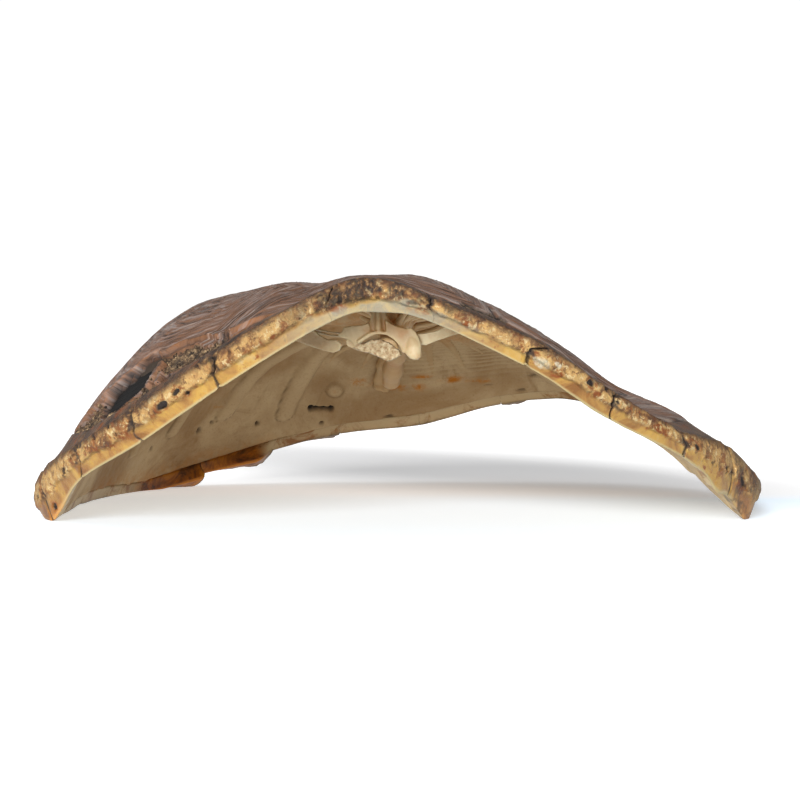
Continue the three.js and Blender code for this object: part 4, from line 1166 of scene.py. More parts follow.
@dataclass
class RimHorn:
    """The cervical plate and the 24 marginal plates that wrap the rim."""

    form: ShellForm
    # How far a plate's rear end stands out, and how far the left flank's lip hangs down, by plate.
    teeth: dict[int, float] = field(default_factory=lambda: {7: 2, 8: 4, 9: 6, 10: 8, 11: 8, 12: 6})
    hanging_left: dict[int, float] = field(default_factory=lambda: {9: 4.5, 10: 8.0})
    # Place and width round the rim, and how far the rim stands out there.
    swells: Sequence[tuple[float, float, float]] = ((20.6, 0.6, 4.5), (5.85, 0.5, 2.2))
    # How far a seam wanders along the rim, in millimetres, at the brow, the middle and the lip.
    wander: dict[int, tuple[float, float, float]] = field(default_factory=lambda: {
        1: (-1.0, 0.0, 1.5), 2: (3.0, -4.5, -1.0), 3: (1.5, -2.0, 0.0), 4: (-2.0, 2.0, 0.0),
        5: (-4.0, 2.5, 0.0), 25: (1.5, -0.5, 0.0), 24: (0.5, 0.5, -1.0), 23: (1.0, -1.0, 0.0),
        22: (0.0, 2.5, 0.0), 21: (0.0, 1.5, 0.0)})
    # Place round the rim, place down its face, half length, half height and kind.
    marks: Sequence[tuple] = (
        (23.42, 0.45, 3.2, 1.5, Mark.PIT), (23.6, 0.38, 2.0, 1.1, Mark.PIT),
        (23.71, 0.6, 1.1, 1.0, Mark.PIT), (2.1, 0.55, 2.6, 2.4, Mark.FLAKE),
        (2.2, 0.36, 1.6, 1.0, Mark.FLAKE), (2.63, 0.28, 2.3, 1.5, Mark.PIT),
        (2.24, 0.66, 2.6, 2.2, Mark.RUST), (2.72, 0.5, 2.8, 1.6, Mark.RUST),
        (3.4, 0.62, 2.4, 1.4, Mark.RUST), (3.62, 0.46, 4.2, 1.7, Mark.RUST),
        (5.22, 0.62, 3.4, 4.0, Mark.RUST), (5.28, 0.5, 1.8, 2.4, Mark.PIT),
        (21.18, 0.86, 2.4, 1.4, Mark.PIT), (24.35, 0.8, 1.3, 0.8, Mark.RUST),
        (24.5, 0.55, 1.6, 1.0, Mark.RUST), (1.35, 0.45, 2.2, 1.2, Mark.RUST),
        (4.4, 0.85, 1.8, 1.2, Mark.RUST), (4.25, 0.4, 2.0, 1.2, Mark.PIT))
    # Stations along a plate, rows on its upper face and rows down its outer face.
    coarse: tuple[int, int, int] = (44, 12, 24)
    fine: tuple[int, int, int] = (130, 14, 44)
    under_rows: int = 6
    # Rounds of smoothing at the head end and at the flanks.
    rounding: tuple[int, int] = (3, 14)
    # Least height over the ground.
    lowest: float = 0.05

    def _tooth(self, t: Array, plate: int) -> Array:
        """How far the rim stands out."""
        along = np.where(t > HALF, SEAMS - t - plate, t - plate)
        stands = self.teeth.get(plate, 0) * np.clip(along, 0, 1) ** 2
        for at, width, swell in self.swells:
            stands = stands + swell * bell(t, at, width)
        return stands

    def _hang(self, t: Array, plate: int) -> Array:
        """How far the lip hangs down."""
        drop = self.hanging_left.get(plate, 0) * np.clip(SEAMS - t - plate, 0, 1)
        taper = step(15.0, 15.34, t) if plate == 10 else 1.0
        return np.where(t > HALF, drop * taper, 0.0)

    def _rounded(self, skin: Array, t: Array) -> Array:
        """Rounds the section's corners, more at the flanks than at the head end."""
        far = np.minimum(t, SEAMS - t)
        share = step(3.6, 5.4, far)[:, None, None]
        free = np.ones(skin.shape[1])
        free[self.top_rows + self.face_rows - 4:] = 0.0
        free[:3] = 0.0
        least, most = self.rounding
        for turn in range(most):
            moved = (skin[:, :-2] + skin[:, 2:]) / 2 - skin[:, 1:-1]
            skin[:, 1:-1] += moved * 0.5 * free[None, 1:-1, None] * (1.0 if turn < least else share)
        return skin

    def _wander(self, seam: float, v: Array) -> Array:
        """Shift of a seam along the rim at v, in millimetres."""
        key = int(round(seam)) % SEAMS
        a, b, c = self.wander.get(key, (0.6 * math.sin(3.7 * key), -0.6 * math.cos(2.3 * key), 0.0))
        v = np.clip(v, 0, 1)
        ragged = 0.55 * np.sin(9 * v + key) + 0.35 * np.sin(23 * v + 2 * key) * (v < 0.62)
        return a * (1 - v) * (1 - 2 * v) + b * 4 * v * (1 - v) + c * v * (2 * v - 1) + ragged

    def _plate(self, name: str, start: float, end: float, plate: int) -> bpy.types.Object:
        """Closed mesh of one plate between two seams."""
        form = self.form
        along, self.top_rows, self.face_rows = self.fine if plate < 6 else self.coarse
        chord = float(np.linalg.norm(form.outer(1.0, start) - form.outer(1.0, end)))
        half = form.plate_gap / 2 / chord
        ease = np.linspace(-1, 1, along + along // 3 if plate == 0 else along)
        ease = (np.sin(ease * np.pi / 2) * 0.35 + ease * 0.65) / 2 + 0.5
        t = start + (end - start) * (half + (1 - 2 * half) * ease)
        around = np.mod(t, SEAMS)
        tooth = self._tooth(around, plate)
        length = np.linalg.norm(form.outer(1.0, around) - form.outer(0.97, around), axis=-1) / 0.03
        edge = form.marginal_edge(around) + form.plate_gap / 4 / length
        top_f = np.linspace(0, 1, self.top_rows)[:-1]
        top_s = edge[:, None] + (1 - edge[:, None]) * top_f[None]
        column = around[:, None]
        lean = step(0.6, 1.0, top_f)[None, :, None] * tooth[:, None, None] * form.tooth_root
        _, _, _, out, _ = form.rim(around)
        top = form.outer(top_s, column) + out[:, None] * lean
        v = np.linspace(0, 1, self.face_rows)
        face = form.rim_curve(around, v, (0, 0, 0), tooth, self._hang(around, plate))
        last = form.underside(around, form.underside_return, 0)[:, None]
        f = np.linspace(0, 1, self.under_rows)[None, 1:, None]
        under = face[:, -1:] * (1 - f) + last * f
        skin = self._rounded(np.concatenate([top, face, under], 1), around)
        face_in = form.rim_curve(around, v, (form.horn,) * 3, 0 * tooth)
        top_in = form.outer(top_s, column) - form.normal(top_s, column) * form.horn
        last_in = form.underside(around, form.underside_return, form.horn)[:, None]
        under_in = face_in[:, -1:] * (1 - f) + last_in * f
        back = np.concatenate([top_in, face_in, under_in], 1)
        count = skin.shape[1]
        band = np.concatenate([top_f - 1, v, 1 + np.linspace(0, 1, self.under_rows)[1:]])
        band = np.broadcast_to(band, skin.shape[:2])
        low_end = distance_along(skin, 0)
        high_end = low_end[-1:] - low_end
        seam = np.minimum(low_end, high_end)
        height, marks = self._relief(skin, band, seam, distance_along(skin, 1), around)
        rim_v = np.clip(band, 0, 1) * step(1.6, 1.0, band)
        shift = self._wander(start, rim_v) * step(8.0, 0.0, low_end)
        shift = shift + self._wander(end, rim_v) * step(8.0, 0.0, high_end)
        across = unit(np.gradient(skin, axis=0))
        skin = skin + across * (shift * step(-0.6, 0.0, band))[..., None]
        closed = step(0.96, 1.1, band) if plate > 5 else step(0.5, 0.62, band) * (plate < 2)
        closing = form.plate_gap / 2 * closed * (step(2.0, 0.0, high_end) - step(2.0, 0.0, low_end))
        skin = skin + across * closing[..., None]
        normal = unit(np.cross(across, unit(np.gradient(skin, axis=1))))
        flip = np.sign(np.sum(normal[:, self.top_rows + 4] * out, -1))[:, None, None]
        normal = normal * np.where(flip == 0, 1, flip)
        skin = skin + normal * height[..., None]
        skin[..., 2] = np.maximum(skin[..., 2], self.lowest)
        grid = np.concatenate([skin, back[:, ::-1]], 1)
        faces = [list(q) for q in grid_faces(len(t), 2 * count, False, True)]
        for row, turn in ((0, 1), (len(t) - 1, -1)):
            base = row * 2 * count
            for i in range(count - 1):
                quad = [base + i, base + i + 1, base + 2 * count - 2 - i, base + 2 * count - 1 - i]
                faces.append(quad[::turn])
        values = {key: np.concatenate([value, value[:, ::-1]], 1) for key, value in marks.items()}
        piece = make_mesh(f"{name}_horn", grid.reshape(-1, 3), faces, values)
        tidy_mesh(piece, 1e-6)
        return piece

    def _relief(self, skin: Array, band: Array, seam: Array, down: Array,
                t: Array) -> tuple[Array, dict[str, Array]]:
        """Raised granular pad on the upper part of the face, grooves at the seams, and the marks."""
        column = np.broadcast_to(t[:, None], band.shape)
        brow_down = down - down[:, self.top_rows - 1:self.top_rows]
        height_mm = (down[:, self.top_rows + self.face_rows - 2] - down[:, self.top_rows - 1])[:, None]
        low = (0.6 + 0.08 * noise(skin, 12.0, 47, 2)) * height_mm
        corner = np.minimum(6.0, low * 0.75)
        dx = np.maximum(corner - (seam - 0.5), 0)
        dy = np.maximum(np.abs(brow_down - low * 0.5) - low * 0.5 + corner, 0)
        edge = corner - np.hypot(dx, dy) + 0.55 * noise(skin, 5.0, 41, 3)
        pad = step(-0.5, 0.9, edge) * step(-0.3, 0.02, band)
        grain = 0.6 * noise(skin, 2.6, 42, 3) + 0.5 * noise(skin, 1.1, 48, 2)
        few = step(-0.2, 0.5, noise(skin, 13.0, 49, 2))
        pit = step(0.5, 0.8, noise(skin, 2.6, 43, 2)) * pad * few
        rust = step(0.15, 0.65, noise(skin, 4.2, 43, 3)) * (0.25 + 0.75 * few) * step(0.95, 0.6, band)
        flake = np.zeros_like(band)
        for at, v, half, high, kind in self.marks:
            reach = np.hypot((column - at) * self._span(at) / half, (band - v) * height_mm / high)
            reach = reach + 0.35 * noise(skin, 2.6, 50, 2)
            here = step(1.1, 0.75, reach) * (np.abs(column - at) < 1)
            ring = bell(reach, 1.25, 0.25) * (np.abs(column - at) < 1)
            if kind is Mark.PIT:
                pit, rust = np.maximum(pit, here), np.maximum(rust, 0.9 * ring)
            elif kind is Mark.FLAKE:
                flake, rust = np.maximum(flake, here * 0.8), rust * (1 - here)
            else:
                rust = np.maximum(rust, here)
        height = 0.8 * pad + (0.25 + 0.75 * pad) * 0.24 * grain - 0.9 * pit - 0.3 * rust * pad + 0.3 * flake
        height = height + 0.3 * noise(skin, 16.0, 44, 2)
        cut = bell(seam + 0.5 * noise(skin, 3.5, 51, 2), 0.0, 0.75)
        far = np.minimum(column, SEAMS - column)
        cut = cut * (1 - step(0.8, 0.96, band) * step(5.0, 6.0, far))
        cut = cut * (1 - step(0.42, 0.55, band) * step(1.6, 1.2, far))
        height = height - (0.4 + 0.5 * step(-0.5, 0.6, noise(skin, 8.0, 46, 2))) * cut
        height = height + 0.15 * step(0.9, 1.0, band) * step(1.3, 1.05, band)
        height = height * step(1.95, 1.5, band)
        left = column > HALF
        signed = np.where(left, column - SEAMS, column)
        front = step(2.3, 1.0, np.abs(signed) * 1.2)
        reach = 0.5 - 0.12 * np.tanh(signed * 1.5) + 0.16 * noise(skin, 6.0, 53, 2)
        dark = 0.9 * front * step(reach + 0.1, reach - 0.12, band)
        dark = dark * step(-0.35, 0.45, noise(skin, 5.0, 45, 3) + 0.3)
        corner_dark = step(0.35, -0.3, edge) * step(5.5, 2.5, seam)
        corner_dark = corner_dark * step(0.62, 0.5, band) * step(-0.1, 0.06, band)
        dark = np.maximum(dark, 0.85 * corner_dark * step(6.2, 5.2, far))
        brow_dark = step(0.22, 0.02, band + 0.12 * noise(skin, 4.0, 52, 3)) * step(-0.4, -0.05, band)
        dark = np.maximum(dark, 0.6 * brow_dark * step(6.0, 5.0, far))
        spot = bell(column, 5.3, 0.3) * step(0.1, 0.3, band) * step(-0.25, 0.3, noise(skin, 3.0, 58, 3))
        dark = np.maximum(dark, 0.75 * spot)
        vault = step(1.9, 0.8, np.abs(signed)) * step(reach - 0.02, reach + 0.14, band)
        back = step(4.9, 6.0, far)
        tooth = step(15.02, 15.3, column) * step(17.4, 16.9, column) * step(0.45, 0.9, band)
        foot = bell(column, 20.9, 0.5) * step(0.5, 0.95, band)
        tip = bell(column, 5.55, 0.35) * step(0.5, 1.0, band)
        amber = np.maximum(np.maximum(tooth, 0.8 * foot), 0.7 * tip)
        plain = step(1.02, 1.25, band) * (1 - tooth)
        seam = np.maximum(seam + 0.45 * noise(skin, 3.0, 54, 2), 0) + 0.5 * bell(column, 25, 0.1)
        seam = seam + 3.0 * plain + 2.0 * vault
        return height, {"band": band, "seam": seam, "dark": dark * (1 - flake), "back": back,
                        "amber": amber, "plain": plain, "rust": np.clip(rust, 0, 1), "flake": flake,
                        "pit": np.clip(pit, 0, 1) * step(1.1, 0.9, band),
                        "vault": vault * step(1.6, 1.2, band)}

    def _span(self, t: float) -> float:
        """Length of one rim division at t, in millimetres."""
        ahead, behind = self.form.outer(1.0, t + 0.1), self.form.outer(1.0, t - 0.1)
        return float(np.linalg.norm(ahead - behind)) / 0.2

    def build(self) -> dict[str, bpy.types.Object]:
        """Builds every rim plate, by node name."""
        made = {"cervical_scute": self._plate("cervical_scute", -1.0, 1.0, 0)}
        for k in range(1, HALF):
            for side, start in (("right", k), ("left", SEAMS - k - 1)):
                name = f"marginal_scute_{side}_{k}"
                made[name] = self._plate(name, start, start + 1, k)
        return made


# ---------------------------------------------------------------- first vertebra and column


@dataclass(frozen=True)
class SpineFinish:
    """Bone of the first vertebra and of the column: creamy and smooth, granular where it is broken off; the
    vertebra is darkened as painted shade.
    """

    def make(self) -> bpy.types.Material:
        """Builds the material."""
        g = Graph("vertebra_bone")
        cloud = g.noise(60.0, 5.0, 0.6, warp=0.5)
        fine = g.noise(700.0, 4.0, 0.65)
        colour = g.ramp(cloud, [
            (0.34, srgb(152, 122, 80)), (0.5, srgb(178, 154, 114)), (0.66, srgb(196, 178, 142))])
        colour = g.tint(colour, srgb(160, 122, 74), g.attribute("tan"), 0.75)
        tint = g.range(g.noise(95.0, 3.0, 0.5), 0.52, 0.66)
        colour = g.tint(colour, srgb(158, 106, 44), tint, 0.5)
        colour = g.tint(colour, srgb(140, 84, 28), g.attribute("low"), 0.2)
        colour = g.tint(colour, srgb(196, 174, 134), g.attribute("high"), 0.6)
        grit = g.attribute("grit")
        broken = g.ramp(fine, [
            (0.32, srgb(136, 104, 66)), (0.5, srgb(178, 154, 116)), (0.68, srgb(206, 188, 154))])
        colour = g.blend(colour, broken, grit)
        # Painted shade: the first vertebra, where tan is 0, is darkened because the low front light falls
        # full on it; the column keeps its tone.
        colour = g.tint(colour, (0.0, 0.0, 0.0), g.math("SUBTRACT", 1.0, g.attribute("tan")), 0.28)
        normal = g.bump(fine, 0.0005, 0.35)
        normal = g.bump(g.times(fine, grit), 0.001, 1.0, normal)
        return g.finish(colour, 0.55, normal, 0.4, Subsurface_Weight=0.05)


@dataclass
class Lump:
    """Flat bony blade: an outline seen from the head end, between two depths."""

    outline: Sequence[tuple[float, float]]
    near: float
    far: float
    lean: float = 0.0

    def mesh(self) -> tuple[list[tuple[float, float, float]], list[list[int]]]:
        """Points and faces of the closed blade; `lean` moves the lower part backwards."""
        count = len(self.outline)
        high = max(z for _, z in self.outline)
        points = [(x, y + self.lean * (high - z), z) for y in (self.near, self.far) for x, z in self.outline]
        faces = [list(range(count)), list(range(2 * count - 1, count - 1, -1))]
        faces += [[i, i + count, (i + 1) % count + count, (i + 1) % count] for i in range(count)]
        return points, faces


@dataclass
class Rod:
    """Bony rod through [x, y, z, radius] points, `flat` times as thick as it is wide."""

    points: Sequence[tuple[float, float, float, float]]
    flat: float = 1.0
    sides: int = 14

    def mesh(self) -> tuple[list[tuple[float, float, float]], list[list[int]]]:
        """Points and faces of the closed rod."""
        path = np.array(self.points, float)
        fine = np.linspace(0, len(path) - 1, 6 * (len(path) - 1) + 1)
        line = np.stack([np.interp(fine, range(len(path)), path[:, k]) for k in range(4)], -1)
        along = unit(np.gradient(line[:, :3], axis=0))
        hint = np.where(np.abs(along[:, 2:]) > 0.8, [[0, 1, 0]], [[0, 0, 1]])
        side = unit(np.cross(along, hint))
        top = np.cross(side, along)
        angle = np.linspace(0, 2 * np.pi, self.sides, endpoint=False)[None, :, None]
        ring = line[:, None, :3] + line[:, None, 3:] * (side[:, None] * np.cos(angle)
                                                        + self.flat * top[:, None] * np.sin(angle))
        faces = [list(map(int, f)) for f in grid_faces(len(line), self.sides, False, True)]
        last = (len(line) - 1) * self.sides
        faces += [list(range(self.sides)), list(range(last + self.sides - 1, last - 1, -1))]
        return [tuple(p) for p in ring.reshape(-1, 3)], faces


@dataclass
class FirstVertebra:
    """First vertebra of the trunk at the front opening, with the bony struts to both sides."""

    form: ShellForm
    voxel: float = 0.42

    def lumps(self) -> list[Lump | Rod]:
        """The blades and rods that it is made of."""
        spine = Lump([
            (-7.5, 90), (-6.3, 86.5), (-5.7, 83), (-6.3, 80.6), (-8.2, 78.6), (-11.5, 77.4),
            (-10.5, 74.2), (-7.0, 74.6), (-4.6, 75.8), (-2.2, 76.1), (0.4, 75.8), (3.2, 74.4),
            (6.0, 73.0), (7.0, 76.6), (3.4, 78.6), (1.0, 80.8), (-0.4, 83.2), (-0.3, 86.5), (0.8, 90)],
            -120.2, -115.0)
        crest = Rod([
            (-3.2, -119.5, 90, 1.2), (-3.1, -120.4, 84, 1.0), (-2.8, -120.8, 78, 1.3),
            (-2.4, -120.6, 76.6, 1.0)])
        left_wing = Lump([
            (-6.5, 79.8), (-9.2, 78.8), (-13.0, 78.6), (-15.8, 78.2), (-16.6, 76.6), (-18.4, 75.0),
            (-16.2, 74.0), (-14.0, 73.6), (-11.6, 71.2), (-9.8, 72.0), (-8.0, 73.6), (-5.6, 75.4)],
            -121.4, -119.2, 0.12)
        right_wing = Lump([
            (-0.4, 81.0), (2.4, 79.2), (5.4, 78.2), (7.6, 77.6), (9.4, 78.0), (11.2, 76.6), (12.4, 74.4),
            (13.4, 71.4), (13.0, 68.2), (10.8, 66.0), (8.4, 67.4), (6.6, 70.0), (4.0, 73.0), (0.2, 75.4)],
            -121.6, -118.4, -0.05)
        lobe = Rod([(9.4, -120.6, 74.2, 2.0), (10.4, -121.4, 70.4, 3.2), (10.6, -121.6, 67.6, 3.0),
                    (10.4, -121.2, 66.2, 1.8)], 0.75)
        arch = Rod([(-10.6, -121.2, 72.4, 0.7), (-8.0, -121.2, 74.2, 0.7), (-5.6, -121.2, 75.6, 0.7),
                    (-2.6, -121.2, 76.2, 0.7), (0.4, -121.2, 75.8, 0.7), (3.4, -121.2, 74.0, 0.7),
                    (5.6, -121.2, 71.4, 0.7), (7.0, -121.2, 68.6, 0.7)])
        body = Lump([
            (-15.6, 73.0), (-14.6, 71.0), (-9.8, 69.2), (-5.6, 68.2), (-2.2, 66.6), (0.4, 65.2),
            (3.4, 66.4), (5.8, 67.4), (4.4, 69.6), (0.8, 72.4), (-2.4, 73.6), (-5.6, 73.4), (-9.4, 71.4),
            (-11.8, 73.0)], -119.6, -110.0)
        strut_left = Lump([
            (-36.6, 75.4), (-34.0, 73.0), (-29.0, 71.0), (-24.5, 69.4), (-20.2, 68.4), (-18.0, 69.2),
            (-16.8, 71.4), (-18.6, 73.2), (-22.0, 73.2), (-25.4, 75.2), (-28.0, 77.8), (-33.5, 79.5)],
            -121.0, -118.6, 0.35)
        strut_right = Lump([
            (11.5, 75.6), (11.5, 71.6), (15.0, 71.2), (19.0, 73.0), (24.0, 74.6), (30.5, 76.6),
            (36.0, 79.4), (30.0, 80.6), (24.5, 79.2), (19.0, 76.8), (15.0, 76.0)], -120.5, -118.0, 0.25)
        band = Rod([
            (-31, -119, 78.5, 1.0), (-24, -115, 76.6, 0.8), (-16, -112, 75.6, 0.8), (-8, -112, 76, 1.0)],
            0.6)
        second = Rod([(-30, -114, 77.2, 1.0), (-22, -110, 75.0, 0.9), (-14, -108, 74.4, 1.0)], 0.6)
        roots = [Rod([(-3.4, -119, 90, 3.2), (-3.4, -118, 85, 2.6), (-3.2, -117, 79, 2.8)]),
                 Rod([(-32, -119, 75.5, 3.0), (-40, -121, 78.0, 3.4), (-44, -122, 80.0, 3.2)], 0.7),
                 Rod([(30, -118, 77.6, 2.6), (38, -120, 80.0, 2.8), (42, -121, 81.5, 2.8)], 0.7)]
        wings = [left_wing, right_wing]
        return [spine, crest, *wings, lobe, arch, body, strut_left, strut_right, band, second, *roots]

    def build(self) -> bpy.types.Object:
        """Joins the lumps into one grown shape."""
        grown = grown_together("first_vertebra", self.lumps(), self.voxel)
        spots = vertex_values(grown.data, "co") / MM + MIDDLE
        normals = vertex_values(grown.data, "normal")
        x, z = spots[:, 0], spots[:, 2]
        below_arch = 75.6 - 0.05 * (x + 2.5) ** 2
        grit = step(0.2, -0.6, z - below_arch) * step(6.8, 5.2, x) * step(-16.5, -15.0, x)
        grit = grit * step(-120.9, -120.2, spots[:, 1])
        grit = np.maximum(grit, 0.15 * step(-16, -20, x) * step(0.0, 0.5, -normals[:, 1]))
        moved = 0.25 * noise(spots, 7.0, 51, 2) + grit * 0.3 * noise(spots, 1.6, 52, 3)
        spots = spots + normals * moved[:, None]
        grown.data.vertices.foreach_set("co", ((spots - MIDDLE) * MM).astype(np.float32).ravel())
        low, high = bends(grown.data, spots)
        put_marks(grown.data, {"grit": grit, "low": low * (1 - grit), "high": high * (1 - 0.6 * grit)})
        return grown


def vertex_values(mesh: bpy.types.Mesh, name: str) -> Array:
    """The `co` or `normal` of every vertex, shape (n, 3)."""
    values = np.empty(len(mesh.vertices) * 3, np.float32)
    mesh.vertices.foreach_get(name, values)
    return values.reshape(-1, 3)


def put_marks(mesh: bpy.types.Mesh, marks: dict[str, Array]) -> None:
    """Keeps numbers on the vertices, by name."""
    for key, values in marks.items():
        layer = mesh.attributes.new(key, "FLOAT", "POINT")
        layer.data.foreach_set("value", np.asarray(values, np.float32))
    mesh.update()


def bends(mesh: bpy.types.Mesh, spots: Array, rounds: int = 5) -> tuple[Array, Array]:
    """How hollow and how raised the surface is at each vertex, 0 to 1.

    Args:
        mesh: Closed mesh.
        spots: Its vertices in millimetres.
        rounds: How often the values are averaged with their neighbours.

    Returns:
        The hollow places and the raised places.
    """
    ends = np.empty(len(mesh.edges) * 2, np.int32)
    mesh.edges.foreach_get("vertices", ends)
    a, b = ends.reshape(-1, 2).T
    count = np.maximum(np.bincount(np.concatenate([a, b]), minlength=len(spots)), 1)

    def around(values: Array) -> Array:
        """Mean of the neighbours' values."""
        total = np.zeros_like(values)
        np.add.at(total, a, values[b])
        np.add.at(total, b, values[a])
        return total / (count[:, None] if values.ndim == 2 else count)

    bulge = -np.sum((around(spots) - spots) * vertex_values(mesh, "normal"), -1)
    for _ in range(rounds):
        bulge = (bulge + around(bulge)) / 2
    return step(0.004, 0.04, -bulge), step(0.006, 0.045, bulge)


def evaluated_mesh(piece: bpy.types.Object) -> bpy.types.Mesh:
    """Plain mesh of an object with its modifiers applied."""
    graph = bpy.context.evaluated_depsgraph_get()
    return bpy.data.meshes.new_from_object(piece.evaluated_get(graph))


def remeshed(piece: bpy.types.Object, voxel: float, smoothing: int) -> bpy.types.Object:
    """Replaces an object's overlapping solids by one closed, smoothed skin."""
    change = piece.modifiers.new("grow", "REMESH")
    change.mode = "VOXEL"
    change.voxel_size = voxel * MM
    change.use_smooth_shade = True
    soften = piece.modifiers.new("soften", "SMOOTH")
    soften.iterations = smoothing
    soften.factor = 0.6
    bpy.context.view_layer.update()
    mesh = evaluated_mesh(piece)
    piece.modifiers.clear()
    piece.data = mesh
    piece.data.polygons.foreach_set("use_smooth", np.ones(len(mesh.polygons), bool))
    return piece


def grown_together(name: str, parts: Sequence[Lump | Rod], voxel: float) -> bpy.types.Object:
    """Joins blades and rods into one grown shape.

    Args:
        name: Name of the piece.
        parts: The closed blades and rods, which overlap.
        voxel: Size of the skin's cells in millimetres.

    Returns:
        The object, one closed skin.
    """
    points: list = []
    faces: list = []
    for part in parts:
        own, sides = part.mesh()
        faces += [[i + len(points) for i in side] for side in sides]
        points += own
    piece = make_mesh(name, np.array(points), faces)
    tidy_mesh(piece, 1e-7)
    return remeshed(piece, voxel, 3)


@dataclass
class Column:
    """Vertebral column under the ridge, with arches to the roof and a pair of rib heads for each vertebra."""

    form: ShellForm
    # Middle line of the column, [x, y, z, radius].
    path: Sequence[tuple[float, float, float, float]] = (
        (0, -116, 70, 4.4), (0, -100, 73, 4.8), (0, -60, 79, 5), (0, -12, 81, 5), (-1, 30, 79.5, 5),
        (-4, 65, 73, 5.2), (-8, 92, 63, 5.4), (-11, 112, 52.5, 5.2), (-11.5, 119, 49.5, 4.0))
    # The y of each arch, and the seam that its ribs run to.
    arch_y: Sequence[float] = (-84, -74, -58, -38, -12, 18, 46, 70, 88)
    arch_seams: Sequence[int] = (2, 3, 4, 5, 6, 7, 8, 9, 10)
    # Low ridges that spread over the roof: the place round the rim, and the s where each ends.
    spread: Sequence[tuple[float, float]] = (
        (11.2, 0.6), (11.8, 0.7), (12.3, 0.8), (12.8, 0.84), (14.0, 0.74), (14.7, 0.7), (15.3, 0.6))
    spread_thick: float = 3.6
    voxel: float = 0.85

    def at(self, y: float) -> Array:
        """Middle and radius at y."""
        path = np.array(self.path, float)
        return np.array([np.interp(y, path[:, 1], path[:, k]) for k in range(4)])

    def trunk(self) -> list[Rod]:
        """Waisted bodies of the vertebrae along the path."""
        y = np.linspace(-116, 118, 160)
        middle = np.array([self.at(v) for v in y])
        phase = np.interp(y, [-116, *self.arch_y, 104, 118], np.arange(12))
        waist = 1 - 0.2 * np.sin(np.pi * (phase % 1.0)) ** 2
        middle[:, 3] *= waist
        line, into = self.form.inner(np.linspace(0.5, 0.84, 12), np.full(12, 13.55))
        swell = 1 + 0.12 * np.cos(np.arange(12) * 2.1)
        heel = line + into * 1.0
        wide = np.linspace(6.4, 4.6, 12) * swell
        low_ridge = Rod([(*p, r) for p, r in zip(heel, wide)], 0.55, 20)
        return [Rod([tuple(p) for p in middle[::2]], 0.9, 20), low_ridge]

    def build(self) -> bpy.types.Object:
        """Joins trunk, arches, rib heads and spreading ridges into one grown shape."""
        parts: list[Lump | Rod] = self.trunk()
        for seam, y in zip(self.arch_seams, self.arch_y):
            x, _, z, _ = self.at(y)
            roof = float(self.form.ridge(np.array(y))) - self.form.wall + 1.5
            parts.append(Rod([(x, y, z, 2.6), (x / 2, y, (z + roof) / 2, 2.0), (x / 2, y, roof, 3.0)]))
            for t in (seam, SEAMS - seam):
                top, into = self.form.inner(np.array([0.19, 0.28]), np.array([t, t], float))
                root, tip = top - into * 1.2
                mid = (np.array([x, y, z]) + root) / 2 + np.array([0, 0, -0.8])
                parts.append(Rod([(x, y, z, 2.2), (*mid, 1.5), (*root, 2.2), (*tip, 1.6)], 0.8))
        for t, end in self.spread:
            line, into = self.form.inner(np.linspace(0.1, end, 9), np.full(9, t))
            thick = self.spread_thick * np.sin(np.linspace(0.5, 3.0, 9))
            parts.append(Rod([(*p, r) for p, r in zip(line - into * 0.6, thick)], 0.5))
        grown = grown_together("vertebral_column", parts, self.voxel)
        low, high = bends(grown.data, vertex_values(grown.data, "co") / MM)
        put_marks(grown.data, {"grit": np.zeros(len(low)), "low": 0.6 * low, "high": 0.4 * high,
                               "tan": np.ones(len(low))})
        return grown


# ---------------------------------------------------------------- crumbs in the tear


